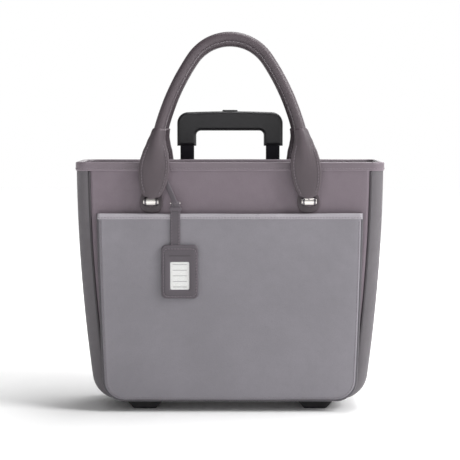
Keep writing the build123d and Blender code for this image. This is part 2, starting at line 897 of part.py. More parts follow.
with BuildPart() as release_spring:
    coil_height = spring_height - spring_wire
    with BuildLine(Plane((0, tube_centre_y, spring_bottom + spring_wire / 2))) as coil:
        Helix(coil_height / spring_turns, coil_height, spring_radius)
    coil_line = coil.wire()
    with BuildSketch(Plane(origin=coil_line @ 0, z_dir=coil_line % 0)):
        Circle(spring_wire / 2)
    sweep(path=coil_line, is_frenet=True)
save(release_spring, "release_spring")

# ------------------------------------------------------------ wheels
wheel_radius = wheel_diameter / 2
hub_radius = wheel_radius - tyre_thickness
arch_clear_radius = wheel_radius + wheel_arch_gap
cheek_inner = wheel_width / 2 + wheel_side_gap
flange_height = flange_top - flange_bottom


def disc(x, radius, half_width, mode=Mode.ADD):
    """A disc on the wheels' axle line, centred at x."""
    with Locations(Location((x, back_y, axle_z), (0, 90, 0))):
        Cylinder(radius, 2 * half_width, mode=mode)


def make_wheel(side, place):
    """Housing, tyre, hub and bearings of one wheel."""
    x = side * wheel_x
    with BuildPart() as housing:
        with Locations((x, back_y + (housing_rear - housing_front) / 2, ground_clearance)):
            Box(
                2 * housing_half,
                housing_front + housing_rear,
                housing_top - ground_clearance,
                align=(Align.CENTER, Align.CENTER, Align.MIN),
            )
        rear_edges = housing.faces().sort_by(Axis.Y)[-1].edges().filter_by(Axis.X)
        fillet(rear_edges.sort_by(Axis.Z)[-1], housing_rear - flange_thickness)
        with BuildSketch(upright(back_y)):
            with Locations((x, flange_bottom + flange_height / 2)):
                RectangleRounded(flange_width, flange_height, screw_inset)
        extrude(amount=-flange_thickness)
        disc(x, arch_clear_radius, cheek_inner, Mode.SUBTRACT)
        disc(x, axle_diameter / 2, housing_half, Mode.SUBTRACT)
        with BuildSketch(upright(back_y)):
            with Locations(*flange_screw_places(side)):
                Circle(screw_diameter / 2)
        extrude(amount=-flange_thickness, mode=Mode.SUBTRACT)
    save(housing, f"wheel_housing_{place}")

    with BuildPart() as tyre:
        disc(x, wheel_radius, wheel_width / 2)
        fillet(tyre.edges().filter_by(GeomType.CIRCLE), tyre_edge_radius)
        disc(x, hub_radius, wheel_width, Mode.SUBTRACT)
    save(tyre, f"tyre_{place}")

    with BuildPart() as hub:
        disc(x, hub_radius, wheel_width / 2)
        for end in sides:
            recess_x = x + end * (wheel_width / 2 - hub_recess / 2)
            with Locations(Location((recess_x, back_y, axle_z), (0, 90, 0))):
                Cylinder(hub_radius - hub_rim, hub_recess, mode=Mode.SUBTRACT)
                Cylinder(bearing_outer / 2 + hub_shoulder, hub_recess)
            seat_x = x + end * (wheel_width / 2 - bearing_width / 2)
            disc(seat_x, bearing_outer / 2, bearing_width / 2, Mode.SUBTRACT)
        disc(x, bearing_outer / 2 - hub_shoulder, wheel_width, Mode.SUBTRACT)
    save(hub, f"wheel_hub_{place}")

    with BuildPart() as bearings:
        for end in sides:
            disc(x + end * (wheel_width - bearing_width) / 2, bearing_outer / 2, bearing_width / 2)
        disc(x, axle_diameter / 2 + running_clearance, wheel_width, Mode.SUBTRACT)
    save(bearings, f"wheel_bearings_{place}")


for side, place in zip(sides, ("left", "right")):
    make_wheel(side, place)

with BuildPart() as wheel_axles:
    for side in sides:
        disc(side * wheel_x, axle_diameter / 2, housing_half)
save(wheel_axles, "wheel_axles")

with BuildPart() as housing_screws:
    for side in sides:
        with BuildSketch(upright(back_y + flange_thickness)):
            with Locations(*flange_screw_places(side)):
                Circle(screw_diameter / 2)
        extrude(amount=flange_thickness + wall)
        with BuildSketch(upright(back_y + flange_thickness)):
            with Locations(*flange_screw_places(side)):
                Circle(screw_head_diameter / 2)
        extrude(amount=-screw_head_height)
save(housing_screws, "housing_screws")

# ------------------------------------------------------------ front feet
foot_front = foot_y - foot_depth / 2
screw_seat = 2 * foot_screw_recess

for side, place in zip(sides, ("left", "right")):
    with BuildPart() as foot:
        with BuildSketch(upright(foot_front)):
            with Locations((side * foot_x, 0)):
                Trapezoid(
                    foot_top_width,
                    ground_clearance,
                    foot_slope,
                    rotation=180,
                    align=(Align.CENTER, Align.MAX),
                )
        extrude(amount=-foot_depth)
        fillet(foot.faces().sort_by(Axis.Z)[0].edges(), foot_edge_radius)
        with BuildSketch(Plane.XY):
            with Locations((side * foot_x, foot_y)):
                with GridLocations(foot_screw_spacing, 0, 2, 1):
                    Circle(foot_screw_head / 2)
        extrude(amount=screw_seat, mode=Mode.SUBTRACT)
        with BuildSketch(Plane.XY):
            with Locations((side * foot_x, foot_y)):
                with GridLocations(foot_screw_spacing, 0, 2, 1):
                    Circle(foot_screw_diameter / 2)
        extrude(amount=ground_clearance, mode=Mode.SUBTRACT)
    save(foot, f"front_foot_{place}")

with BuildPart() as foot_screws:
    for side in sides:
        with Locations((side * foot_x, foot_y, foot_screw_recess)):
            with GridLocations(foot_screw_spacing, 0, 2, 1):
                Cylinder(
                    foot_screw_head / 2,
                    screw_seat - foot_screw_recess,
                    align=(Align.CENTER, Align.CENTER, Align.MIN),
                )
                Cylinder(
                    foot_screw_diameter / 2,
                    ground_clearance + wall - foot_screw_recess,
                    align=(Align.CENTER, Align.CENTER, Align.MIN),
                )
save(foot_screws, "foot_screws")

# ------------------------------------------------------------ luggage tag
tag_z = rim_z - tag_pivot_drop
tag_y = pocket_y - pocket_binding_proud - tag_gap - tag_strap_thickness / 2
anchor_z = rim_z - anchor_drop - ear_radius
anchor_y = front_y - anchor_standoff
barrel_length = (tag_strap_width - tag_loop_width) / 2 - tag_barrel_gap
strap_head = tag_z - tag_barrel_diameter / 2 - tag_barrel_gap
holder_top = tag_z - holder_drop
holder_back = tag_y + tag_strap_thickness / 2
window_z = holder_top - holder_height + window_bottom + window_height / 2


def rod(x, y, z, radius, length, mode=Mode.ADD):
    """A round bar along X."""
    with Locations(Location((x, y, z), (0, 90, 0))):
        Cylinder(radius, length, mode=mode)


with BuildPart() as tag_anchor:
    with BuildSketch(upright(front_y)):
        with Locations((anchor_x, anchor_z)):
            Rectangle(anchor_width + 2 * anchor_ear, anchor_plate_height)
    extrude(amount=anchor_plate_thickness)
    for end in sides:
        with BuildSketch(Plane.YZ.offset(anchor_x + end * (anchor_width + anchor_ear) / 2)):
            with Locations((front_y - anchor_standoff / 2, anchor_z)):
                Rectangle(anchor_standoff, anchor_bar_diameter)
            with Locations((anchor_y, anchor_z)):
                Circle(anchor_bar_diameter / 2)
        extrude(amount=anchor_ear / 2, both=True)
    rod(anchor_x, anchor_y, anchor_z, anchor_bar_diameter / 2, anchor_width)
save(tag_anchor, "tag_anchor")

loop_rise = anchor_z - tag_z
loop_lean = anchor_y - tag_y
loop_length = (loop_rise**2 + loop_lean**2) ** 0.5
loop_plane = Plane(
    origin=(tag_x, tag_y, tag_z), x_dir=(1, 0, 0), z_dir=(0, -loop_rise, loop_lean)
)

with BuildSketch() as loop_centre:
    with BuildLine():
        Polyline(
            (anchor_x - tag_x, loop_length - 2 * loop_neck),
            (anchor_x - tag_x + 2 * loop_neck, loop_length - 2.4 * loop_neck),
            (loop_bow, loop_length / 2),
            (0, 1.7 * loop_neck),
            (-tag_strap_width / 2 - loop_bow, 1.7 * loop_neck),
            (anchor_x - tag_x + loop_bow, loop_length * 0.4),
            close=True,
        )
    make_face()
loop_outer = offset(loop_centre.sketch, amount=tag_loop_width / 2, mode=Mode.PRIVATE)
loop_inner = offset(loop_centre.sketch, amount=-tag_loop_width / 2, mode=Mode.PRIVATE)

with BuildPart() as tag_loop:
    with BuildSketch(loop_plane):
        add(loop_outer)
        add(loop_inner, mode=Mode.SUBTRACT)
        Rectangle(tag_loop_width, 2 * loop_neck, align=(Align.CENTER, Align.MIN))
        with Locations((anchor_x - tag_x, loop_length)):
            Rectangle(loop_barrel_length, 2 * loop_neck, align=(Align.CENTER, Align.MAX))
    extrude(amount=tag_loop_thickness / 2, both=True)
    rod(anchor_x, anchor_y, anchor_z, loop_barrel_diameter / 2, loop_barrel_length)
    rod(tag_x, tag_y, tag_z, tag_barrel_diameter / 2, tag_loop_width)
    rod(anchor_x, anchor_y, anchor_z, anchor_bar_diameter / 2, anchor_width, Mode.SUBTRACT)
    rod(tag_x, tag_y, tag_z, tag_bar_diameter / 2, tag_strap_width, Mode.SUBTRACT)
save(tag_loop, "tag_loop")

with BuildPart() as tag_bar:
    rod(tag_x, tag_y, tag_z, tag_bar_diameter / 2, tag_strap_width)
save(tag_bar, "tag_bar")

with BuildPart() as tag_strap:
    with BuildSketch(upright(tag_y)):
        with Locations((tag_x, strap_head)):
            Rectangle(tag_strap_width, tag_strap_length, align=(Align.CENTER, Align.MAX))
        for end in sides:
            barrel_x = tag_x + end * (tag_strap_width - barrel_length) / 2
            with Locations((barrel_x, strap_head)):
                Rectangle(barrel_length, tag_z - strap_head, align=(Align.CENTER, Align.MIN))
    extrude(amount=tag_strap_thickness / 2, both=True)
    for end in sides:
        barrel_x = tag_x + end * (tag_strap_width - barrel_length) / 2
        rod(barrel_x, tag_y, tag_z, tag_barrel_diameter / 2, barrel_length)
    bore_radius = tag_bar_diameter / 2 + running_clearance
    rod(tag_x, tag_y, tag_z, bore_radius, 2 * tag_strap_width, Mode.SUBTRACT)
save(tag_strap, "tag_strap")

with BuildPart() as tag_keeper:
    with BuildSketch(Plane.XY.offset(strap_head - tag_keeper_drop - tag_keeper_height)):
        with Locations((tag_x, tag_y)):
            RectangleRounded(
                tag_strap_width + 2 * tag_keeper_thickness,
                tag_strap_thickness + 2 * tag_keeper_thickness,
                tag_keeper_thickness,
            )
            Rectangle(tag_strap_width, tag_strap_thickness, mode=Mode.SUBTRACT)
    extrude(amount=tag_keeper_height)
save(tag_keeper, "tag_keeper")

with BuildPart() as tag_holder:
    with BuildSketch(upright(holder_back)):
        with Locations((holder_x, holder_top - holder_height / 2)):
            RectangleRounded(holder_width, holder_height, holder_radius)
    extrude(amount=holder_thickness)
    fillet(tag_holder.faces().sort_by(Axis.Y)[0].edges(), holder_radius / 4)
    with BuildSketch(upright(holder_back - holder_thickness)):
        with Locations((holder_x, window_z)):
            Rectangle(window_width, window_height)
    extrude(amount=-(window_depth + card_thickness), mode=Mode.SUBTRACT)
    add(tag_strap.part, mode=Mode.SUBTRACT)
save(tag_holder, "tag_holder")

card_back = holder_back - holder_thickness + window_depth + card_thickness

with BuildPart() as tag_card:
    with BuildSketch(upright(card_back)):
        with Locations((holder_x, window_z)):
            Rectangle(window_width, window_height)
    extrude(amount=card_thickness)
save(tag_card, "tag_card")

with BuildPart() as tag_window:
    with BuildSketch(upright(card_back - card_thickness)):
        with Locations((holder_x, window_z)):
            Rectangle(window_width, window_height)
    extrude(amount=window_thickness)
save(tag_window, "tag_window")
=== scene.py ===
"""Visual model of the rolling laptop tote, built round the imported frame."""
import math

import bmesh
import bpy
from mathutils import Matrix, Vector, noise


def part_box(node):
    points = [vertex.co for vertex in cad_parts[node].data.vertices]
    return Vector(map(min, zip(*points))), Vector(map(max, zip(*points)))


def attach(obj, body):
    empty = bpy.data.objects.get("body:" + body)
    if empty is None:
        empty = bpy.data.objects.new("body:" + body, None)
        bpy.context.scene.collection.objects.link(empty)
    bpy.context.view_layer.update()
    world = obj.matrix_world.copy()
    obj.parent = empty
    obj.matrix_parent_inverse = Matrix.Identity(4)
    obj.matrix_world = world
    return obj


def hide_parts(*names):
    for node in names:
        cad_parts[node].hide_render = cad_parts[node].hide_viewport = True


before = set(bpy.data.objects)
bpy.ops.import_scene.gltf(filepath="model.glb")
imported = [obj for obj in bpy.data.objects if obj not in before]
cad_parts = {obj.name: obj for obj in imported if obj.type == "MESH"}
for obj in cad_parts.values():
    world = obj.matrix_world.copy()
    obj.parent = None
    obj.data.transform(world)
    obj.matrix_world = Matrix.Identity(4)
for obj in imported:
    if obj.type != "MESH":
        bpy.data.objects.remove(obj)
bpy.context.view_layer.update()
MM = 0.001
BAG_MIDDLE = Vector((0.0, 0.0, 0.18))
ACROSS = Vector((1, 0, 0))

# ---------------------------------------------------------------- sizes from the frame
shell_low, shell_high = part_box("side_gusset")
rim_low, rim_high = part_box("rim_binding")
pocket_low, pocket_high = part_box("front_pocket")
FRONT, BACK = shell_low.y, shell_high.y
LIFT, SHELL_TOP, RIM = shell_low.z, shell_high.z, rim_high.z
TOP_HALF = shell_high.x
DEPTH = BACK - FRONT

# ---------------------------------------------------------------- shape of the bag
BOTTOM_HALF = 185 * MM
SIDE_BULGE = 6 * MM
CORNER = 38 * MM
EDGE = 16 * MM
SEAM_INSET = 18.5 * MM
WALL = 3 * MM
BOARD = 3 * MM
LINING = 1 * MM
GUSSET_LEATHER, PANEL_LEATHER, POCKET_LEATHER = 2.4 * MM, 2.6 * MM, 2.0 * MM
PIPING_ACROSS, PIPING_DEEP = 1.9 * MM, 2.1 * MM
INNER_FRONT = FRONT + WALL + LINING
INNER_BACK = BACK - WALL - BOARD - LINING
SIDE_ROWS, CORNER_ROWS, BOTTOM_ROWS = 46, 12, 44


# ================================================================ materials
class Tree:
    """Short-hand for building one material's nodes."""

    def __init__(self, name, roughness=0.5, metallic=0.0):
        self.material = bpy.data.materials.new(name)
        self.material.use_nodes = True
        self.tree = self.material.node_tree
        self.shader = self.tree.nodes["Principled BSDF"]
        self.shader.inputs["Roughness"].default_value = roughness
        self.shader.inputs["Metallic"].default_value = metallic
        self.coords = self.add("ShaderNodeTexCoord").outputs["Object"]

    def add(self, kind, **settings):
        node = self.tree.nodes.new(kind)
        for key, value in settings.items():
            setattr(node, key, value)
        return node

    def link(self, source, target):
        self.tree.links.new(source, target)

    def stretched(self, scale):
        mapping = self.add("ShaderNodeMapping")
        mapping.inputs["Scale"].default_value = scale
        self.link(self.coords, mapping.inputs["Vector"])
        return mapping.outputs["Vector"]

    def noise(self, scale, detail=3.0, roughness=0.5, vector=None):
        node = self.add("ShaderNodeTexNoise")
        node.inputs["Scale"].default_value = scale
        node.inputs["Detail"].default_value = detail
        node.inputs["Roughness"].default_value = roughness
        self.link(vector or self.coords, node.inputs["Vector"])
        return node.outputs["Fac"]

    def cells(self, scale, vector=None, feature="DISTANCE_TO_EDGE"):
        node = self.add("ShaderNodeTexVoronoi", feature=feature)
        node.inputs["Scale"].default_value = scale
        self.link(vector or self.coords, node.inputs["Vector"])
        return node.outputs["Distance"]

    def wave(self, scale, direction, distortion=0.0):
        node = self.add("ShaderNodeTexWave", bands_direction=direction)
        node.inputs["Scale"].default_value = scale
        node.inputs["Distortion"].default_value = distortion
        node.inputs["Detail"].default_value = 1.0
        self.link(self.coords, node.inputs["Vector"])
        return node.outputs["Fac"]

    def math(self, operation, a, b):
        node = self.add("ShaderNodeMath", operation=operation)
        for socket, value in zip(node.inputs, (a, b)):
            if isinstance(value, (int, float)):
                socket.default_value = value
            else:
                self.link(value, socket)
        return node.outputs[0]

    def remap(self, value, low, high, to_low, to_high):
        node = self.add("ShaderNodeMapRange")
        for key, number in zip(
            ("From Min", "From Max", "To Min", "To Max"), (low, high, to_low, to_high)
        ):
            node.inputs[key].default_value = number
        self.link(value, node.inputs["Value"])
        return node.outputs["Result"]

    def mix(self, factor, a, b):
        node = self.add("ShaderNodeMix", data_type="RGBA")
        for socket, value in ((node.inputs[0], factor), (node.inputs[6], a), (node.inputs[7], b)):
            if isinstance(value, tuple):
                socket.default_value = (*value, 1.0)
            elif isinstance(value, (int, float)):
                socket.default_value = value
            else:
                self.link(value, socket)
        return node.outputs[2]

    def bump(self, height, strength, distance, normal=None):
        node = self.add("ShaderNodeBump")
        node.inputs["Strength"].default_value = strength
        node.inputs["Distance"].default_value = distance
        self.link(height, node.inputs["Height"])
        if normal is not None:
            self.link(normal, node.inputs["Normal"])
        return node.outputs["Normal"]

    def finish(self, color, roughness=None, normal=None):
        if isinstance(color, tuple):
            self.shader.inputs["Base Color"].default_value = (*color, 1.0)
        else:
            self.link(color, self.shader.inputs["Base Color"])
        if roughness is not None:
            self.link(roughness, self.shader.inputs["Roughness"])
        if normal is not None:
            self.link(normal, self.shader.inputs["Normal"])
        return self.material


def linear(red, green, blue):
    """Linear colour from display values of 0 to 255."""
    return tuple(
        value / 12.92 if value <= 0.04045 else ((value + 0.055) / 1.055) ** 2.4
        for value in (red / 255, green / 255, blue / 255)
    )


def scaled(color, factor):
    return tuple(min(1.0, channel * factor) for channel in color)


def leather(name, color, rough=(0.42, 0.58), grain=0.35, edge_wear_and_highlight=1.25):
    """Fine-grained calf: cloudy colour, pebble grain, creases and lighter edges, worn on most pieces and a
    painted highlight on the rim.
    """
    t = Tree(name)
    cloud = t.noise(9.0, 4.0, 0.55)
    mottle = t.noise(70.0, 3.0, 0.6)
    tone = t.mix(t.remap(cloud, 0.3, 0.7, 0.0, 1.0), scaled(color, 0.9), scaled(color, 1.1))
    tone = t.mix(t.remap(mottle, 0.35, 0.7, 0.0, 0.25), tone, scaled(color, 0.84))
    grain_cells = t.cells(620.0)
    pits = t.remap(grain_cells, 0.0, 0.16, 0.0, 1.0)
    tone = t.mix(t.remap(grain_cells, 0.0, 0.12, 0.3, 0.0), tone, scaled(color, 0.7))
    edges = t.add("ShaderNodeNewGeometry").outputs["Pointiness"]
    # Edges lighter by their pointiness: wear, and where the factor is high, as on the rim, a painted
    # highlight.
    tone = t.mix(t.remap(edges, 0.51, 0.58, 0.0, 0.7), tone, scaled(color, edge_wear_and_highlight))
    pores = t.noise(2100.0, 2.0, 0.6)
    creases = t.noise(34.0, 5.0, 0.62)
    normal = t.bump(creases, 0.22, 0.0022)
    normal = t.bump(pits, grain, 0.00028, normal)
    normal = t.bump(pores, grain * 0.5, 0.00012, normal)
    roughness = t.remap(mottle, 0.3, 0.7, *rough)
    t.shader.inputs["Specular IOR Level"].default_value = 0.45
    t.shader.inputs["Sheen Weight"].default_value = 0.06
    return t.finish(tone, roughness, normal)


def fabric(name, color, pitch=0.9, rough=0.85):
    """Plain-woven nylon with warp and weft, slubs and a soft sheen."""
    t = Tree(name)
    scale = 0.5 / (pitch * MM)
    warp = t.wave(scale, "X", 0.25)
    weft = t.wave(scale, "Z", 0.25)
    over = t.wave(scale, "Y", 0.25)
    weave = t.math("MULTIPLY", t.math("MAXIMUM", warp, over), weft)
    cloud = t.noise(14.0, 4.0)
    slub = t.noise(420.0, 2.0)
    tone = t.mix(t.remap(weave, 0.0, 0.9, 0.0, 1.0), scaled(color, 0.62), scaled(color, 1.18))
    tone = t.mix(t.remap(cloud, 0.35, 0.7, 0.0, 0.3), tone, scaled(color, 0.75))
    tone = t.mix(t.remap(slub, 0.55, 0.8, 0.0, 0.3), tone, scaled(color, 1.5))
    normal = t.bump(cloud, 0.3, 0.004)
    normal = t.bump(weave, 0.5, 0.0003, normal)
    t.shader.inputs["Sheen Weight"].default_value = 0.2
    return t.finish(tone, t.remap(slub, 0.3, 0.8, rough - 0.12, rough), normal)


def plastic(name, color, rough=(0.34, 0.48), texture=0.25):
    """Moulded plastic with a spark-eroded texture and slightly rubbed edges."""
    t = Tree(name)
    cloud = t.noise(26.0, 4.0)
    spark = t.noise(1500.0, 3.0, 0.7)
    scuff = t.noise(150.0, 6.0, 0.75)
    edges = t.add("ShaderNodeNewGeometry").outputs["Pointiness"]
    tone = t.mix(t.remap(cloud, 0.35, 0.7, 0.0, 0.6), color, scaled(color, 1.5))
    tone = t.mix(t.remap(edges, 0.52, 0.6, 0.0, 0.5), tone, scaled(color, 3.0))
    tone = t.mix(t.remap(scuff, 0.62, 0.75, 0.0, 0.35), tone, scaled(color, 2.4))
    normal = t.bump(spark, texture, 0.0002)
    return t.finish(tone, t.remap(scuff, 0.35, 0.7, *rough), normal)


def rubber(name, color):
    """Dull moulded rubber with patches of dust."""
    t = Tree(name)
    dust = t.noise(60.0, 5.0, 0.65)
    pores = t.noise(1800.0, 2.0)
    tone = t.mix(t.remap(dust, 0.45, 0.75, 0.0, 0.5), color, scaled(color, 2.4))
    return t.finish(tone, t.remap(dust, 0.3, 0.7, 0.55, 0.8), t.bump(pores, 0.35, 0.0002))


def metal(name, color, rough=(0.1, 0.24), brushed=None):
    """Plated or drawn metal with fine scratches along one direction."""
    t = Tree(name, metallic=1.0)
    vector = t.stretched(brushed or (1.0, 1.0, 1.0))
    scratch = t.noise(900.0, 4.0, 0.7, vector)
    haze = t.noise(45.0, 4.0)
    tone = t.mix(t.remap(haze, 0.35, 0.7, 0.0, 0.4), color, scaled(color, 0.8))
    return t.finish(
        tone, t.remap(scratch, 0.3, 0.75, *rough), t.bump(scratch, 0.08, 0.0001)
    )


def clear_film(name):
    """Flexible clear window with faint ripples."""
    t = Tree(name, roughness=0.08)
    t.shader.inputs["Alpha"].default_value = 0.12
    ripple = t.noise(120.0, 2.0)
    return t.finish((0.97, 0.98, 0.98), None, t.bump(ripple, 0.1, 0.0005))


def card_paper(name, low, high):
    """White card with three ruled lines, its fibres just visible."""
    t = Tree(name)
    fibres = t.noise(700.0, 4.0, 0.7)
    axes = t.add("ShaderNodeSeparateXYZ")
    t.link(t.coords, axes.inputs[0])
    pitch = (high.z - low.z) / 5
    phase = t.math("FRACT", t.math("DIVIDE", t.math("SUBTRACT", axes.outputs["Z"], low.z), pitch), 0)
    ruled = t.remap(t.math("ABSOLUTE", t.math("SUBTRACT", phase, 0.5), 0), 0.045, 0.06, 1.0, 0.0)
    middle = (low.x + high.x) / 2
    across = t.math("ABSOLUTE", t.math("SUBTRACT", axes.outputs["X"], middle), 0)
    inside = t.remap(across, (high.x - low.x) * 0.36, (high.x - low.x) * 0.37, 1.0, 0.0)
    paper = t.mix(t.remap(fibres, 0.3, 0.7, 0.0, 1.0), (0.62, 0.62, 0.61), (0.7, 0.7, 0.69))
    tone = t.mix(t.math("MULTIPLY", ruled, inside), paper, linear(120, 120, 124))
    return t.finish(tone, t.remap(fibres, 0.3, 0.7, 0.55, 0.75), t.bump(fibres, 0.15, 0.0002))


# Body's own mauve grey, set a few percent darker all over as painted shade for the panel's lower part above
# the pocket.
MAUVE = linear(110, 99, 107)
# The gussets are of the body's leather; this darker copy of it is painted shade for the dim left side.
GUSSET_PAINTED_SHADE = linear(92, 88, 92)
# Pocket's own cooler grey; its extra lightness over the body is painted light on the pocket's face.
COOL = linear(120, 117, 123)
DARK = linear(71, 62, 67)
TAG = linear(76, 70, 76)

paint = {
    "body_leather": leather("body_leather", MAUVE),
    "gusset_leather": leather("gusset_leather", GUSSET_PAINTED_SHADE),
    "pocket_leather": leather("pocket_leather", COOL),
    # Pocket sides: a dark copy of the pocket leather, painted shade in the gap between pocket and bag.
    "pocket_side_painted_shade": leather("pocket_side_painted_shade", linear(72, 69, 74), (0.4, 0.55), 0.3, 1.1),
    # Pocket binding in a lighter leather: painted highlight along its rolled top edge.
    "pocket_edge_painted_highlight": leather("pocket_edge_painted_highlight", linear(152, 148, 154), (0.26, 0.38), 0.15, 1.1),
    "handle_leather": leather("handle_leather", DARK, (0.3, 0.44), 0.3, 1.8),
    "tag_leather": leather("tag_leather", TAG, (0.4, 0.52), 0.3, 1.4),
    "trim_leather": leather("trim_leather", linear(50, 46, 50), (0.36, 0.5), 0.2, 1.4),
    # Rim leather of the body's colour; its high edge factor lightens the rolled top edge as a painted
    # highlight.
    "rim_leather": leather("rim_leather", linear(106, 96, 103), (0.3, 0.42), 0.2, 1.9),
    "thread": fabric("thread", linear(128, 118, 126), 0.5),
    "lining_fabric": fabric("lining_fabric", linear(74, 70, 80)),
    "sleeve_fabric": fabric("sleeve_fabric", linear(58, 58, 66), 1.3),
    "board_plastic": fabric("board_cover", linear(66, 63, 72), 1.1),
    "black_plastic": plastic("black_plastic", linear(20, 19, 22)),
    "button_plastic": plastic("button_plastic", linear(16, 16, 18), (0.5, 0.62), 0.4),
    "tube_black": metal("tube_black", linear(34, 33, 37), (0.26, 0.4), (14.0, 14.0, 0.25)),
    # Handle brackets are nickel; this darker metal is a painted dark reflection on their polished tips.
    "bracket_nickel_painted_dark": metal("bracket_nickel_painted_dark", linear(112, 108, 112), (0.16, 0.3)),
    "steel": metal("steel", linear(188, 188, 190), (0.2, 0.36)),
    "nickel": metal("nickel", linear(226, 222, 218)),
    "foot_rubber": rubber("foot_rubber", linear(15, 14, 17)),
    "tyre_rubber": rubber("tyre_rubber", linear(26, 26, 28)),
    "clear_window": clear_film("clear_window"),
    "card_paper": card_paper("card_paper", *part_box("tag_card")),
}


# ================================================================ mesh helpers
def add_piece(name, vertices, faces, look, body="bag", replaces=(), slot=None):
    """A mesh object with its material, riding on a body and standing for CAD nodes."""
    mesh = bpy.data.meshes.new(name)
    mesh.from_pydata([tuple(v) for v in vertices], [], faces)
    work = bmesh.new()
    work.from_mesh(mesh)
    bmesh.ops.remove_doubles(work, verts=work.verts, dist=1e-6)
    bmesh.ops.recalc_face_normals(work, faces=work.faces)
    work.to_mesh(mesh)
    work.free()
    piece = bpy.data.objects.new(name, mesh)
    bpy.context.scene.collection.objects.link(piece)
    mesh.materials.append(paint[look])
    mesh.polygons.foreach_set("use_smooth", [True] * len(mesh.polygons))
    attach(piece, body)
    if replaces:
        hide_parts(*replaces)
    return piece


def around(count):
    """Angles of points spread evenly around a circle."""
    return [math.tau * k / count for k in range(count)]


def quarter(steps):
    """Angles of a quarter turn in even steps, both ends included."""
    return [math.radians(90 * i / steps) for i in range(steps + 1)]


def powered(value, power):
    """A value raised to a power with its sign kept, which squares off a round section."""
    return math.copysign(abs(value) ** power, value)


def grid_faces(rows, columns, wrap_rows=False, wrap_columns=False):
    """Quads of a grid of points, wrapped round where asked."""
    faces = []
    for r in range(rows if wrap_rows else rows - 1):
        for c in range(columns if wrap_columns else columns - 1):
            a, b = r * columns + c, r * columns + (c + 1) % columns
            low = ((r + 1) % rows) * columns
            faces.append((a, b, low + (c + 1) % columns, low + c))
    return faces


def loft(name, rows, look, wrap_rows=False, wrap_columns=False, caps=False, **how):
    """A surface through rows of points that all have the same length."""
    count = len(rows[0])
    faces = grid_faces(len(rows), count, wrap_rows, wrap_columns)
    if caps:
        faces.append(tuple(range(count)))
        faces.append(tuple(range((len(rows) - 1) * count, len(rows) * count)))
    return add_piece(name, [p for row in rows for p in row], faces, look, **how)


def apply_modifiers(piece):
    """Bake every modifier of a piece into its mesh."""
    bpy.context.view_layer.update()
    baked = bpy.data.meshes.new_from_object(piece.evaluated_get(bpy.context.evaluated_depsgraph_get()))
    piece.modifiers.clear()
    piece.data = baked


def thicken(piece, thickness, centre, offset=-1.0):
    """Give a surface its thickness, grown towards a centre that it faces away from."""
    mesh = piece.data
    facing_out = sum(p.normal.dot(p.center - centre) for p in mesh.polygons)
    if facing_out < 0:
        mesh.flip_normals()
    modifier = piece.modifiers.new("thickness", "SOLIDIFY")
    modifier.thickness = thickness
    modifier.offset = offset
    modifier.use_even_offset = False
    apply_modifiers(piece)


def ripple(point, amount, size, seed=0.0):
    """A slow undulation of soft material, the same on every run."""
    return amount * noise.noise(Vector((point[0], point[1], point[2])) / size + Vector((seed, 0, 0)))


def resample(points, spacing, closed=False):
    """Points at an even spacing along a line."""
    line = list(points) + ([points[0]] if closed else [])
    total = sum((b - a).length for a, b in zip(line, line[1:]))
    count = max(2, round(total / spacing))
    step, found, run = total / count, [line[0].copy()], 0.0
    for a, b in zip(line, line[1:]):
        length = (b - a).length
        while len(found) <= count and len(found) * step <= run + length + 1e-9:
            found.append(a.lerp(b, (len(found) * step - run) / max(length, 1e-9)))
        run += length
    return found


STITCH_PITCH, STITCH_LENGTH, STITCH_RADIUS = 4.2 * MM, 3.1 * MM, 0.42 * MM


def stitch_row(points, outward, closed=False):
    """Vertices and faces of slanted thread stitches along a line; outward gives each normal."""
    vertices, faces = [], []
    spots = resample(points, STITCH_PITCH, closed)
    for a, b in zip(spots, spots[1:]):
        along = (b - a).normalized()
        middle = (a + b) / 2
        out = outward(middle).normalized()
        side = along.cross(out).normalized()
        run = (along + side * 0.16).normalized()
        base = len(vertices)
        for t, size in ((-0.5, 0.25), (-0.36, 0.85), (0.0, 1.0), (0.36, 0.85), (0.5, 0.25)):
            dip = -0.35 * STITCH_RADIUS if abs(t) > 0.4 else 0.25 * STITCH_RADIUS
            centre = middle + run * (t * STITCH_LENGTH) + out * dip
            for angle in around(6):
                offset = side * math.cos(angle) + out * math.sin(angle)
                vertices.append(centre + offset * (STITCH_RADIUS * size))
        faces += [
            tuple(base + i for i in face) for face in grid_faces(5, 6, wrap_columns=True)
        ]
        faces.append(tuple(base + k for k in range(6)))
        faces.append(tuple(base + 24 + k for k in range(6)))
    return vertices, faces


def stitches(name, lines, body="bag", closed=False):
    """All stitch lines of one piece as one mesh; lines holds (points, outward) pairs."""
    vertices, faces = [], []
    for points, outward in lines:
        more, quads = stitch_row(points, outward, closed)
        faces += [tuple(len(vertices) + i for i in face) for face in quads]
        vertices += more
    return add_piece(name, vertices, faces, "thread", body, slot="trim_leather")


def facing(x, y, z):
    """A constant outward direction."""
    direction = Vector((x, y, z))
    return lambda point: direction


# ================================================================ bag outline
def side_half(z, inset):
    """Half-width of the bag's bowed side at height z."""
    t = (z - LIFT) / (SHELL_TOP - LIFT)
    return BOTTOM_HALF + (TOP_HALF - BOTTOM_HALF) * t + 4 * SIDE_BULGE * t * (1 - t) - inset


def corner_circle(inset, half=side_half, radius=CORNER, low=LIFT):
    """Tangent height, slope angle, centre and radius of the rounded bottom corner."""
    size = radius - inset
    slope = (half(low + size + MM, inset) - half(low + size - MM, inset)) / (2 * MM)
    angle = math.atan(slope)
    tangent_z = low + inset + size - size * math.sin(angle)
    centre = (half(tangent_z, inset) - size * math.cos(angle), low + inset + size)
    return tangent_z, angle, centre, size


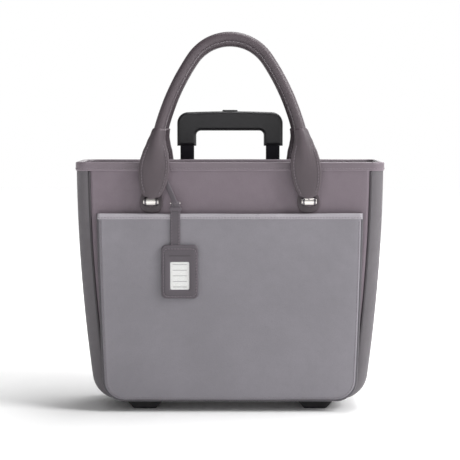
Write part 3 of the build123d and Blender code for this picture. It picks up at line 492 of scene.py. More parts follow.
def outline(inset, top=SHELL_TOP, half=side_half, radius=CORNER, low=LIFT):
    """Front outline from the left rim down, along the bottom and up to the right rim."""
    tangent_z, angle, (cx, cz), size = corner_circle(inset, half, radius, low)
    right = []
    for i in range(BOTTOM_ROWS // 2, BOTTOM_ROWS):
        right.append((cx * (2 * i / BOTTOM_ROWS - 1), cz - size))
    for i in range(CORNER_ROWS):
        turn = math.radians(-90) + (math.radians(90) - angle) * i / CORNER_ROWS
        right.append((cx + size * math.cos(turn), cz + size * math.sin(turn)))
    for i in range(SIDE_ROWS + 1):
        z = tangent_z + (top - tangent_z) * i / SIDE_ROWS
        right.append((half(z, inset), z))
    left = [(-x, z) for x, z in reversed(right[1:])]
    return left + right


def half_at(z, inset, half=side_half, radius=CORNER, low=LIFT):
    """Half-width at height z, the rounded bottom corners included."""
    tangent_z, _, (cx, cz), size = corner_circle(inset, half, radius, low)
    if z >= tangent_z:
        return half(z, inset)
    return cx + math.sqrt(max(0.0, size**2 - (cz - z) ** 2))


def heights(low, high, count):
    """Heights that crowd together near the bottom, where the corners turn."""
    return [low + (high - low) * (i / count) ** 1.35 for i in range(count + 1)]


def panel_rows(y_at, inset, base, top, count=52, columns=64, **shape):
    """Rows of a panel that fills an outline; y_at(x, z) gives its depth."""
    rows = []
    for z in heights(base, top, count):
        reach = half_at(z, inset, **shape)
        xs = [reach * math.sin(math.pi / 2 * (2 * i / columns - 1)) * 0.12
              + reach * (2 * i / columns - 1) * 0.88 for i in range(columns + 1)]
        rows.append([Vector((x, y_at(x, z), z)) for x in xs])
    return rows


# ================================================================ cut-outs for the wheels
housing_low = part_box("wheel_housing_right")[0]
wheel_low, wheel_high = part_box("tyre_right")
WHEEL_X = (wheel_low.x + wheel_high.x) / 2
HOUSING_HALF = 16.7 * MM
HOUSING_TOP = housing_low.z + 56 * MM


def cut_for_wheels(piece, gap=0.0):
    """Take the two wheel housings' room out of a piece."""
    for side in (-1, 1):
        low = Vector((side * WHEEL_X - HOUSING_HALF - gap, housing_low.y - gap, -0.02))
        high = Vector((side * WHEEL_X + HOUSING_HALF + gap, BACK + 0.03, HOUSING_TOP + gap))
        corners = [(x, y, z) for x in (low.x, high.x) for y in (low.y, high.y) for z in (low.z, high.z)]
        quads = [(0, 1, 3, 2), (4, 6, 7, 5), (0, 4, 5, 1), (2, 3, 7, 6), (0, 2, 6, 4), (1, 5, 7, 3)]
        mesh = bpy.data.meshes.new("cutter")
        mesh.from_pydata(corners, [], quads)
        cutter = bpy.data.objects.new("cutter", mesh)
        bpy.context.scene.collection.objects.link(cutter)
        modifier = piece.modifiers.new("cut", "BOOLEAN")
        modifier.object = cutter
        modifier.operation = "DIFFERENCE"
        modifier.solver = "EXACT"
        apply_modifiers(piece)
        bpy.data.objects.remove(cutter)


# ================================================================ bag shell
def rounding(steps=7):
    """Inset and depth of the edge where a face turns into the side."""
    return [(EDGE * (1 - math.sin(a)), EDGE * (1 - math.cos(a))) for a in quarter(steps)]


def shell_sections():
    """Inset and depth of each row of the gusset, front to back."""
    front = [(SEAM_INSET, FRONT)] + [(inset, FRONT + depth) for inset, depth in rounding()]
    back = [(inset, FRONT + BACK - y) for inset, y in reversed(front)]
    middle = []
    for i in range(1, 16):
        t = i / 16
        middle.append((-1.0, FRONT + EDGE + (DEPTH - 2 * EDGE) * t))
    return front + middle + back


def make_gusset():
    """Sides and bottom in one run of soft leather that sinks a little between its edges."""
    rows = []
    for inset, y in shell_sections():
        sag = 0.0
        if inset < 0:
            inset = 0.0
            sag = math.sin(math.pi * (y - FRONT - EDGE) / (DEPTH - 2 * EDGE))
        row = []
        for x, z in outline(inset):
            drawn = sag * 3.2 * MM * max(0.0, (z - 0.1) / (SHELL_TOP - 0.1)) ** 1.2
            drawn += ripple((x, y, z), 0.9 * MM * sag, 0.055, 3.0)
            row.append(Vector((x - math.copysign(drawn, x) if abs(x) > 0.15 else x, y, z)))
        rows.append(row)
    gusset = loft("bag_gusset", rows, "gusset_leather", replaces=["side_gusset"])
    thicken(gusset, GUSSET_LEATHER, BAG_MIDDLE)
    cut_for_wheels(gusset)


def make_panel(name, node, face_y, inward):
    """Front or back panel, very slightly crowned and uneven."""
    def depth(x, z):
        t = x / TOP_HALF
        crown = 0.5 * MM * (1 - t * t) + ripple((x, face_y, z), 0.5 * MM, 0.09, 7.0)
        return face_y - inward * crown * 0.6
    rows = panel_rows(depth, SEAM_INSET + 0.4 * MM, LIFT + SEAM_INSET + 0.4 * MM, SHELL_TOP)
    panel = loft(name, rows, "body_leather", replaces=[node])
    thicken(panel, PANEL_LEATHER, BAG_MIDDLE)
    return panel


def make_piping(name, node, face_y, inward):
    """Folded leather piping in the seam between a panel and the gusset."""
    flat = outline(SEAM_INSET, top=rim_low.z)
    path = [Vector((x, face_y + inward * 0.9 * MM, z)) for x, z in flat]
    rows = []
    for i, point in enumerate(path):
        ahead = path[min(i + 1, len(path) - 1)] - path[max(i - 1, 0)]
        across = ahead.normalized().cross(Vector((0, 1, 0))).normalized()
        ring = []
        for angle in around(12):
            ring.append(point + across * (PIPING_ACROSS * math.cos(angle))
                        + Vector((0, 1, 0)) * (PIPING_DEEP * math.sin(angle)))
        rows.append(ring)
    piping = loft(name, rows, "trim_leather", wrap_columns=True, caps=True, replaces=[node])
    if inward < 0:
        cut_for_wheels(piping)


def plan_loop(half_x, low_y, high_y, radius, steps=9):
    """Rounded rectangle seen from above, as a closed loop of points."""
    loop = []
    corners = ((1, 1, 0), (-1, 1, 90), (-1, -1, 180), (1, -1, 270))
    sides = 14
    for sx, sy, start in corners:
        cx = sx * (half_x - radius)
        cy = (high_y - radius) if sy > 0 else (low_y + radius)
        arc = []
        for i in range(steps + 1):
            angle = math.radians(start + 90 * i / steps)
            arc.append(Vector((cx + radius * math.cos(angle), cy + radius * math.sin(angle), 0)))
        if loop:
            previous = loop[-1]
            loop += [previous.lerp(arc[0], i / sides) for i in range(1, sides)]
        loop += arc
    loop += [loop[-1].lerp(loop[0], i / sides) for i in range(1, sides)]
    return loop


def make_rim():
    """Rolled leather binding over the bag's open edge, with its stitching."""
    skin = 1.3 * MM
    outer = plan_loop(TOP_HALF + skin, FRONT - skin, BACK + skin, EDGE + skin)
    inner = plan_loop(
        TOP_HALF - WALL - LINING - skin, INNER_FRONT + skin, INNER_BACK - skin, EDGE - WALL - LINING
    )
    base, top = rim_low.z, RIM
    round_over = 2.2 * MM
    profile = [(0.02, base + 0.2 * MM), (0.0, base + 1.0 * MM)]
    profile += [(0.0, top - 5 * MM), (0.0, top - round_over)]
    for angle in quarter(6)[1:]:
        profile.append((0.26 * (1 - math.cos(angle)), top - round_over * (1 - math.sin(angle))))
    profile += [(0.5, top + 0.1 * MM)]
    for angle in quarter(6)[:-1]:
        profile.append((1 - 0.26 * (1 - math.sin(angle)), top - round_over * (1 - math.cos(angle))))
    profile += [(1.0, top - round_over), (1.0, base + 1.0 * MM), (0.98, base + 0.2 * MM)]
    rows = []
    for t, z in profile:
        row = []
        for a, b in zip(outer, inner):
            p = a.lerp(b, t)
            wobble = ripple((p.x, p.y, 0), 0.5 * MM, 0.07, 11.0)
            row.append(Vector((p.x, p.y, z + wobble * (z - base) / (top - base))))
        rows.append(row)
    # The roll's leather lightens along its rounded top edge: painted highlight.
    loft("rim_roll", rows, "rim_leather", wrap_rows=True, wrap_columns=True,
         replaces=["rim_binding"], slot="trim_leather")
    seam_z = base + 3.2 * MM
    centre = Vector((0, (FRONT + BACK) / 2, seam_z))
    line = [Vector((p.x, p.y, seam_z)) for p in plan_loop(
        TOP_HALF + skin + 0.15 * MM, FRONT - skin - 0.15 * MM, BACK + skin + 0.15 * MM, EDGE + skin)]

    def outward(point):
        reach = Vector((max(0.0, abs(point.x) - TOP_HALF + EDGE) * math.copysign(1, point.x),
                        max(0.0, abs(point.y - centre.y) - DEPTH / 2 + EDGE)
                        * math.copysign(1, point.y - centre.y), 0))
        return reach if reach.length > 0 else Vector((0, -1, 0))

    stitches("rim_stitching", [(line, outward)], closed=True)


def make_lining():
    """Loose woven lining inside the shell, with covers over the wheel housings."""
    inset = WALL + 0.4 * MM
    low, high = FRONT + WALL + 0.4 * MM, BACK - WALL - BOARD - 0.4 * MM
    round_inner = EDGE - WALL
    rows = []
    front = [
        (inset + round_inner * (1 - math.sin(a)), low + round_inner * (1 - math.cos(a)))
        for a in quarter(5)
    ]
    back = [(i, low + high - y) for i, y in reversed(front)]
    middle = [(inset, low + round_inner + (high - low - 2 * round_inner) * i / 10) for i in range(1, 10)]
    for section_inset, y in front + middle + back:
        row = []
        for x, z in outline(section_inset, top=RIM - 4 * MM):
            row.append(Vector((x, y, z)))
        rows.append(row)
    band = loft("lining_sides", rows, "lining_fabric", replaces=["lining"])
    flat_inset = inset + round_inner
    ends = []
    for name, y in (("lining_front", low), ("lining_back", high)):
        flat = panel_rows(lambda x, z, y=y: y, flat_inset, LIFT + flat_inset, RIM - 4 * MM, 30, 40)
        ends.append(loft(name, flat, "lining_fabric"))
    for piece in [band] + ends:
        work = bmesh.new()
        work.from_mesh(piece.data)
        centre = Vector((0, (FRONT + BACK) / 2, 0.18))
        for vertex in work.verts:
            inward = centre - vertex.co
            inward.z *= 0.1
            amount = abs(ripple(vertex.co, 1.1 * MM, 0.04, 19.0))
            if vertex.co.z < rim_low.z - 6 * MM:
                vertex.co += inward.normalized() * amount
        work.to_mesh(piece.data)
        work.free()
        thicken(piece, 0.5 * MM, BAG_MIDDLE, 0.0)
        if piece is not ends[0]:
            cut_for_wheels(piece, 0.4 * MM)
    for side, place in ((-1, "left"), (1, "right")):
        reach = HOUSING_HALF + 1.1 * MM
        low_corner = Vector((side * WHEEL_X - reach, housing_low.y - 1.1 * MM, LIFT + WALL + 1 * MM))
        high_corner = Vector((side * WHEEL_X + reach, high, HOUSING_TOP + 1.1 * MM))
        rounded_box(f"wheel_cover_{place}", low_corner, high_corner, 5 * MM, "lining_fabric")


def rounded_box(name, low, high, radius, look, body="bag", **how):
    """A box with rounded edges."""
    work = bmesh.new()
    bmesh.ops.create_cube(work, size=1.0)
    size, centre = high - low, (high + low) / 2
    for vertex in work.verts:
        vertex.co = Vector((vertex.co.x * size.x, vertex.co.y * size.y, vertex.co.z * size.z)) + centre
    bmesh.ops.bevel(work, geom=work.edges[:], offset=radius, segments=5, profile=0.5, affect="EDGES")
    vertices = [v.co.copy() for v in work.verts]
    work.verts.index_update()
    faces = [tuple(v.index for v in f.verts) for f in work.faces]
    work.free()
    return add_piece(name, vertices, faces, look, body, **how)


# ================================================================ front pocket
POCKET_CORNER = 30 * MM
POCKET_EDGE = 3.2 * MM
POCKET_TOP = pocket_high.z
pocket_bottom_half, pocket_top_half = 173 * MM, pocket_high.x


def pocket_half(z, inset):
    """Half-width of the front pocket at height z."""
    t = (z - pocket_low.z) / (POCKET_TOP - pocket_low.z)
    return pocket_bottom_half + (pocket_top_half - pocket_bottom_half) * t + 4 * MM * t * (1 - t) - inset


POCKET = {"half": pocket_half, "radius": POCKET_CORNER, "low": pocket_low.z}


def bag_depth(x, z):
    """Depth of the bag's rounded front edge at a point of the front view."""
    _, _, (cx, cz), size = corner_circle(0)
    if z < cz and abs(x) > cx:
        inset = size - math.hypot(abs(x) - cx, z - cz)
    else:
        inset = min(z - LIFT, half_at(z, 0) - abs(x))
    inset = min(max(inset, 0.0), EDGE)
    return FRONT + EDGE * (1 - math.cos(math.asin(1 - inset / EDGE)))


def make_pocket():
    """Front pocket: a soft face with rounded edges, its sides running back to the bag."""
    face_y = pocket_low.y
    rows = []
    for a in quarter(6):
        inset, y = POCKET_EDGE * (1 - math.sin(a)), face_y + POCKET_EDGE * (1 - math.cos(a))
        rows.append([Vector((x, y, z)) for x, z in outline(inset, POCKET_TOP, **POCKET)])
    side = outline(0.0, POCKET_TOP, **POCKET)
    start = face_y + POCKET_EDGE
    for i in range(1, 7):
        row = []
        for x, z in side:
            end = bag_depth(x, z) + 1.4 * MM
            row.append(Vector((x, start + (end - start) * i / 6, z)))
        rows.append(row)
    # The sides take the dark copy of the pocket leather as painted shade.
    edge = loft("pocket_sides", rows, "pocket_side_painted_shade", replaces=["front_pocket"], slot="pocket_leather")
    thicken(edge, POCKET_LEATHER, BAG_MIDDLE)

    def depth(x, z):
        u = x / pocket_high.x
        t = (z - pocket_low.z) / (POCKET_TOP - pocket_low.z)
        belly = 1.1 * MM * (1 - u * u) * math.sin(math.pi * min(1, max(0, t)))
        return face_y - belly + ripple((x, 0, z), 0.6 * MM, 0.08, 23.0) * (1 - u**4)

    face = panel_rows(depth, POCKET_EDGE, pocket_low.z + POCKET_EDGE, POCKET_TOP, **POCKET)
    front = loft("pocket_face", face, "pocket_leather")
    thicken(front, POCKET_LEATHER, BAG_MIDDLE)
    seam = outline(POCKET_EDGE + 2.2 * MM, POCKET_TOP - 9 * MM, **POCKET)
    line = [Vector((x, depth(x, z) - 0.25 * MM, z)) for x, z in seam]
    stitches("pocket_stitching", [(line, facing(0, -1, 0))])
    return depth


def make_pocket_binding(depth):
    """Rolled binding along the pocket's mouth, its lighter leather a painted highlight, with its own stitch
    line.
    """
    low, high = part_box("pocket_binding")
    half, steps = pocket_half(POCKET_TOP, 0.0) - 1.4 * MM, 90
    rows, seam = [], []
    thick = high.y - low.y
    for i in range(steps + 1):
        x = half * (2 * i / steps - 1)
        dip = 0.5 * MM * (1 - (x / half) ** 2) + ripple((x, 0, 0), 0.4 * MM, 0.06, 31.0)
        y0 = min(low.y, depth(x, POCKET_TOP) - 0.8 * MM)
        top, base = high.z - dip, low.z
        ring = [(y0 + 0.4 * MM, base), (y0, base + 1.2 * MM), (y0, top - 2.4 * MM)]
        for k in range(9):
            angle = math.pi * k / 8
            y = y0 + thick / 2 - thick / 2 * math.cos(angle)
            ring.append((y, top - 1.9 * MM + 1.9 * MM * math.sin(angle)))
        ring += [(y0 + thick, top - 3 * MM), (y0 + thick, base + 0.8 * MM)]
        rows.append([Vector((x, y, z)) for y, z in ring])
        seam.append(Vector((x, y0 - 0.15 * MM, base + 2.0 * MM)))
    loft("pocket_roll", rows, "pocket_edge_painted_highlight", wrap_columns=True, caps=True,
         replaces=["pocket_binding"], slot="trim_leather")
    stitches("pocket_roll_stitching", [(seam, facing(0, -1, 0))])


# ================================================================ handles
ARCH_RADIUS, LEG_RADIUS, ARCH_ANGLE, LEG_END = 62 * MM, 320 * MM, 56.0, 86.0
HANDLE_HEIGHT = 222 * MM
GRIP_RADIUS = 7 * MM
GRIP_START = 76.0
TAB_TILT = 5.6
HANDLE_FOOT = 107 * MM
REAR_LEAN = 6.5
TAB_START, TAB_END, TAB_LEVELS, TAB_HALF_THICK = -7.5 * MM, 102 * MM, 76, 4.5 * MM
PATCH_WIDE, PATCH_TALL = 15.6, 15.4


def leg_point(angle):
    """Across and up from the pin line on a handle's centre line at a slope."""
    turn, start = math.radians(angle), math.radians(ARCH_ANGLE)
    if angle <= ARCH_ANGLE:
        return ARCH_RADIUS * math.sin(turn), HANDLE_HEIGHT - ARCH_RADIUS * (1 - math.cos(turn))
    across = ARCH_RADIUS * math.sin(start) + LEG_RADIUS * (math.sin(turn) - math.sin(start))
    drop = ARCH_RADIUS * (1 - math.cos(start)) + LEG_RADIUS * (math.cos(start) - math.cos(turn))
    return across, HANDLE_HEIGHT - drop


def handle_frame(name):
    """Origin, up direction and outward direction of a handle."""
    lean = 0.0 if name == "front" else math.radians(REAR_LEAN)
    up = Vector((0, -math.sin(lean), math.cos(lean)))
    out = Vector((0, -1, 0)) if name == "front" else Vector((0, math.cos(lean), math.sin(lean)))
    low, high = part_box(f"{name}_handle_ferrules")
    return Vector((0, (low.y + high.y) / 2, (low.z + high.z) / 2)), up, out


def make_handle(name):
    """One rolled handle with its leaf-shaped tabs, all in the handle's own plane."""
    origin, up, out = handle_frame(name)
    body = f"{name}_handle"

    def place(across, height):
        return origin + ACROSS * across + up * height

    angles = [GRIP_START - i for i in range(int(GRIP_START - ARCH_ANGLE))]
    angles += [ARCH_ANGLE * (1 - i / 14) for i in range(15)]
    half_line = [leg_point(a) for a in angles]
    flat = [(-x, z) for x, z in half_line] + [(x, z) for x, z in reversed(half_line[:-1])]
    line = resample([place(x, z) for x, z in flat], 4 * MM)
    rows, seam_left, seam_right = [], [], []
    count = len(line) - 1
    for i, point in enumerate(line):
        along = (line[min(i + 1, count)] - line[max(i - 1, 0)]).normalized()
        side = along.cross(out).normalized()
        share = abs(2 * i / count - 1)
        radius = GRIP_RADIUS * (0.93 + 0.1 * share**2)
        ring = []
        for angle in around(28):
            near_seam = math.exp(-((angle - math.pi / 2) / 0.24) ** 2)
            size = radius * (1 + 0.1 * near_seam)
            size += ripple(point + side * math.cos(angle) * 0.004, 0.12 * MM, 0.02, 41.0)
            ring.append(point + out * (size * math.cos(angle)) + side * (size * math.sin(angle)))
        rows.append(ring)
        if 3 < i < count - 3:
            seam_left.append(point + side * (radius * 0.96) + out * (radius * 0.5))
            seam_right.append(point + side * (radius * 0.96) - out * (radius * 0.5))
    loft(f"{name}_rolled_grip", rows, "handle_leather", wrap_columns=True, caps=True,
         body=body, replaces=[f"{name}_handle_grip"])
    middle = origin + up * 0.12

    def inward(sign):
        return lambda p: (middle - p).normalized() * 0.9 + out * (0.45 * sign)

    stitches(f"{name}_grip_stitching", [(seam_left, inward(1)), (seam_right, inward(-1))], body=body)

    for sign, label in ((-1, "left"), (1, "right")):
        node = f"{name}_handle_tab_{label}"
        tilt = math.radians(TAB_TILT) * sign
        along = up * math.cos(tilt) - ACROSS * math.sin(tilt)
        side = ACROSS * math.cos(tilt) + up * math.sin(tilt)
        foot = place(sign * HANDLE_FOOT, 0)
        rows = []
        for i in range(TAB_LEVELS + 1):
            s = TAB_START + (TAB_END - TAB_START) * i / TAB_LEVELS
            width = leaf_half_width(s)
            t = (s - TAB_START) / (TAB_END - TAB_START)
            cap = min(1.0, math.sqrt(max(0.0, i) / 2.5) if i < 3 else 1.0)
            cap *= min(1.0, math.sqrt(max(0.0, (TAB_LEVELS - i)) / 2.5) if i > TAB_LEVELS - 3 else 1.0)
            ring = []
            bend = ACROSS * (-sign * tab_bend(s))
            for angle in around(40):
                u, v = math.cos(angle), math.sin(angle)
                u = powered(u, 0.72)
                swell = max(0.0, min(1.0, (t - 0.3) / 0.6))
                swell = swell * swell * (3 - 2 * swell)
                spine = math.exp(-((u * width) / (8.5 * MM)) ** 2) * (4.6 * MM * swell)
                from_seam = (abs(u) * width - (width - 4.4 * MM)) / (1.1 * MM)
                groove = min(1.0, width / (12 * MM)) * math.exp(-(from_seam**2)) * 0.45 * MM
                flat_part = TAB_HALF_THICK * (0.62 + 0.3 * (1 - u * u)) + spine - groove
                reach = powered(v, 0.5) * flat_part * max(cap, 0.25)
                ring.append(foot + along * s + bend + side * (u * width * max(cap, 0.2)) + out * reach)
            rows.append(ring)
        loft(f"{name}_tab_{label}", rows, "handle_leather", wrap_columns=True, caps=True,
             body=body, replaces=[node])
        lines = []
        for edge in (-1, 1):
            for face in (-1, 1):
                points = []
                for i in range(40):
                    s = 11 * MM + (78 * MM - 11 * MM) * i / 39
                    width = leaf_half_width(s) - 4.2 * MM
                    if width < 1.6 * MM:
                        continue
                    bent = foot + along * s - ACROSS * (sign * tab_bend(s))
                    points.append(bent + side * (edge * width) + out * (face * TAB_HALF_THICK * 0.74))
                lines.append((points, lambda p, face=face: out * face))
        stitches(f"{name}_tab_stitching_{label}", lines, body=body)
        make_patch(f"{name}_tab_patch_{label}", foot, side, along, name)


def tab_bend(s):
    """How far a leaf's middle line turns inward to follow the handle's leg."""
    across, height = leg_point(LEG_END)
    for i in range(120):
        across, height = leg_point(LEG_END - i * 0.25)
        if height >= s * math.cos(math.radians(TAB_TILT)):
            break
    straight = HANDLE_FOOT - s * math.sin(math.radians(TAB_TILT))
    share = max(0.0, min(1.0, (s / MM - 40) / 50))
    return max(0.0, straight - across) * share


def leaf_half_width(s):
    """Half-width of a handle's leaf tab at a distance from its pin."""
    keys = ((-8, 3.0), (-5, 5.0), (0, 5.9), (5.6, 6.0), (7, 10.5), (10, 13.2), (17, 16.6), (28, 19.4),
            (42, 20.8), (54, 20.2), (66, 17.6), (78, 13.6), (90, 10.2), (102, 8.6))
    s = s / MM
    if s <= keys[0][0]:
        return keys[0][1] * MM
    for (s0, w0), (s1, w1) in zip(keys, keys[1:]):
        if s <= s1:
            t = (s - s0) / (s1 - s0)
            return (w0 + (w1 - w0) * (t * t * (3 - 2 * t) * 0.35 + t * 0.65)) * MM
    return keys[-1][1] * MM


def make_patch(name, foot, side, along, handle):
    """Leaf-ended leather patch that covers a handle's bracket where it is fixed to the bag."""
    wall_y = FRONT if handle == "front" else BACK
    outward = Vector((0, -1 if handle == "front" else 1, 0))
    rows = []
    profile = ((2.1, 0.0), (2.9, 0.0), (3.3, 0.6), (3.4, 2.0), (3.2, 3.0), (3.4, 4.0), (3.5, 14.0))
    for depth, inset in profile:
        ring = []
        for a in around(48):
            u = powered(math.sin(a), 0.8)
            v = powered(math.cos(a), 0.8)
            across = side * (u * max(0.4, PATCH_WIDE - inset) * MM)
            height = along * ((v * max(0.4, PATCH_TALL - inset) - 1.0) * MM)
            point = foot + across + height
            ring.append(Vector((point.x, wall_y, point.z)) + outward * (depth * MM))
        rows.append(ring)
    loft(name, rows, "handle_leather", wrap_columns=True, caps=True)


# ================================================================ luggage tag
def make_tag():
    """Strap, keeper and holder of the luggage tag, with its loop to the bag."""
    low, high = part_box("tag_strap")
    middle_x, y_front, y_back = (low.x + high.x) / 2, low.y, high.y
    y_mid = (y_front + y_back) / 2
    half, thick = (high.x - low.x) / 2 - 0.3 * MM, 2.2 * MM
    rows = []
    levels = 30
    for i in range(levels + 1):
        t = i / levels
        z = high.z - (high.z - low.z) * t
        bow = y_mid + 0.5 * MM * math.sin(math.pi * t)
        end_pinch = 0.82 + 0.18 * min(1, t * 8)
        ring = []
        for a in around(24):
            u = powered(math.cos(a), 0.35)
            v = powered(math.sin(a), 0.6)
            swell = thick / 2 if t > 0.1 else thick * (0.5 + (0.1 - t) * 5)
            ring.append(Vector((middle_x + u * half * end_pinch, bow + v * swell, z)))
        rows.append(ring)
    loft("tag_strap_leather", rows, "tag_leather", wrap_columns=True, caps=True,
         body="luggage_tag", replaces=["tag_strap"])
    lines = []
    for sign in (-1, 1):
        x = middle_x + sign * (half - 1.8 * MM)
        lines.append(([Vector((x, y_mid - thick / 2 - 0.12 * MM + 0.5 * MM * math.sin(math.pi * i / 20),
                               high.z - 10 * MM - (high.z - low.z - 14 * MM) * i / 20)) for i in range(21)],
                      facing(0, -1, 0)))
    stitches("tag_strap_stitching", lines, body="luggage_tag")
    keeper_low, keeper_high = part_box("tag_keeper")
    rounded_box("tag_keeper_loop", keeper_low, keeper_high, 1.1 * MM, "tag_leather",
                body="luggage_tag", replaces=["tag_keeper"])

    low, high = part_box("tag_holder")
    window_low, window_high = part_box("tag_window")
    face, back = low.y, high.y
    corner = 6 * MM
    outer = frame_loop(low.x + 0.2 * MM, high.x - 0.2 * MM, low.z + 0.2 * MM, high.z - 0.2 * MM, corner)
    hole = frame_loop(window_low.x + 0.1 * MM, window_high.x - 0.1 * MM,
                      window_low.z + 0.1 * MM, window_high.z - 0.1 * MM, 2.2 * MM)
    profile = [(0.0, back - 0.8 * MM)]
    for t, height in ((0.0, 1.5), (0.015, 0.7), (0.06, 0.15), (0.16, -0.1), (0.22, 0.35), (0.28, -0.1),
                      (0.5, -0.35), (0.86, -0.15), (0.95, 0.2), (1.0, 1.0), (1.0, 1.7)):
        profile.append((t, face + height * MM))
    rows = []
    for t, y in profile:
        rows.append([between(a, b, t, y) for a, b in zip(outer, hole)])
    loft("tag_holder_frame", rows, "tag_leather", wrap_columns=True, body="luggage_tag",
         replaces=["tag_holder"])
    centre = Vector(((low.x + high.x) / 2, (low.z + high.z) / 2))
    back_rows = []
    for t, y in ((0.0, back - 0.8 * MM), (0.03, back - 0.2 * MM), (0.1, back), (1.0, back)):
        back_rows.append([between(a, centre, t, y) for a in outer])
    loft("tag_holder_back", back_rows, "tag_leather", wrap_columns=True, body="luggage_tag")
    inner = [Vector((x, face + 1.7 * MM, z)) for x, z in hole]
    loft("tag_card_seat", [inner, [p + Vector((0, 1.6 * MM, 0)) for p in inner]], "tag_leather",
                wrap_columns=True, body="luggage_tag")
    stitch_line = [between(a, b, 0.22, face - 0.12 * MM) for a, b in zip(outer, hole)]
    stitches("tag_holder_stitching", [(stitch_line, facing(0, -1, 0))], body="luggage_tag", closed=True)
    # The card slot is not cut: a thin strip of dark trim leather is painted shade for the slit's dark line.
    slot_z = window_high.z + (high.z - window_high.z) * 0.36
    rounded_box("tag_card_slot_painted_shade", Vector((window_low.x - 1.5 * MM, face - 0.5 * MM, slot_z - 0.7 * MM)),
                Vector((window_high.x + 1.5 * MM, face + 0.6 * MM, slot_z + 0.7 * MM)), 0.5 * MM,
                "trim_leather", body="luggage_tag")

    anchor_low, anchor_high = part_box("tag_anchor")
    bar_low, bar_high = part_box("tag_bar")
    loop_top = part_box("tag_loop")[1].z
    anchor_x = anchor_low.x + (anchor_high.x - anchor_low.x) / 2
    top = Vector((anchor_x, anchor_low.y + 1.3 * MM, loop_top - 3.3 * MM))
    foot = (bar_low + bar_high) / 2
    run = foot - top
    along = run.normalized()
    across = along.cross(Vector((0, 1, 0))).normalized()
    lift = across.cross(along).normalized()
    lift = -lift if lift.y > 0 else lift
    length, half_gap = run.length, 1.75 * MM
    path = []
    for i in range(9):
        a = math.pi * (0.5 + i / 8)
        path.append(top + along * (half_gap * math.cos(a)) + lift * (half_gap * math.sin(a)))
    for i in range(1, 12):
        path.append(top + along * (length * i / 12) - lift * half_gap)
    for i in range(9):
        a = math.pi * (-0.5 + i / 8)
        path.append(foot + along * (half_gap * math.cos(a)) + lift * (half_gap * math.sin(a)))
    for i in range(1, 12):
        path.append(foot - along * (length * i / 12) + lift * half_gap)
    rows = []
    count = len(path)
    for i, point in enumerate(path):
        tangent = (path[(i + 1) % count] - path[i - 1]).normalized()
        normal = tangent.cross(across).normalized()
        ring = []
        for a in around(16):
            u = powered(math.cos(a), 0.4)
            ring.append(point + across * (u * 3.3 * MM) + normal * (math.sin(a) * 0.75 * MM))
        rows.append(ring)
    loft("tag_loop_leather", rows, "tag_leather", wrap_rows=True, wrap_columns=True, replaces=["tag_loop"])


def between(a, b, share, y):
    """Point at a depth y, a share of the way between two (x, z) points."""
    return Vector((a[0] + (b[0] - a[0]) * share, y, a[1] + (b[1] - a[1]) * share))


def frame_loop(x0, x1, z0, z1, radius):
    """Rounded rectangle in the front view, as 72 points from the middle of the right corner."""
    loop = []
    for cx, cz, start in ((x1 - radius, z1 - radius, 0), (x0 + radius, z1 - radius, 90),
                          (x0 + radius, z0 + radius, 180), (x1 - radius, z0 + radius, 270)):
        arc = [(cx + radius * math.cos(math.radians(start + 90 * i / 8)),
                cz + radius * math.sin(math.radians(start + 90 * i / 8))) for i in range(9)]
        if loop:
            last = loop[-1]
            loop += [(last[0] + (arc[0][0] - last[0]) * i / 10, last[1] + (arc[0][1] - last[1]) * i / 10)
                     for i in range(1, 10)]
        loop += arc
    last = loop[-1]
    loop += [(last[0] + (loop[0][0] - last[0]) * i / 10, last[1] + (loop[0][1] - last[1]) * i / 10)
             for i in range(1, 10)]
    return loop


# ================================================================ padded pieces inside
def inflate(piece, voxel, reach, pressure=4.0):
    """Swell a closed form with a short cloth simulation, each point moving no more than reach."""
    remesh = piece.modifiers.new("remesh", "REMESH")
    remesh.mode = "VOXEL"
    remesh.voxel_size = voxel
    apply_modifiers(piece)
    relax(piece.data, 4)
    start = [v.co.copy() for v in piece.data.vertices]
    cloth = piece.modifiers.new("cloth", "CLOTH")
    cloth.settings.quality = 4
    cloth.settings.mass = 0.3
    cloth.settings.tension_stiffness = 20
    cloth.settings.compression_stiffness = 20
    cloth.settings.use_pressure = True
    cloth.settings.uniform_pressure_force = pressure
    cloth.settings.effector_weights.gravity = 0
    cloth.collision_settings.use_collision = False
    scene = bpy.context.scene
    scene.frame_start, scene.frame_end = 1, 20
    for number in range(1, 21):
        scene.frame_set(number)
    apply_modifiers(piece)
    scene.frame_set(1)
    for vertex, rest in zip(piece.data.vertices, start):
        moved = vertex.co - rest
        if moved.length > reach:
            vertex.co = rest + moved.normalized() * reach
    relax(piece.data, 2)
    piece.data.polygons.foreach_set("use_smooth", [True] * len(piece.data.polygons))


def relax(mesh, rounds):
    """Even out a mesh by moving each point towards its neighbours."""
    work = bmesh.new()
    work.from_mesh(mesh)
    for _ in range(rounds):
        bmesh.ops.smooth_vert(
            work, verts=work.verts, factor=0.5, use_axis_x=True, use_axis_y=True, use_axis_z=True
        )
    work.to_mesh(mesh)
    work.free()


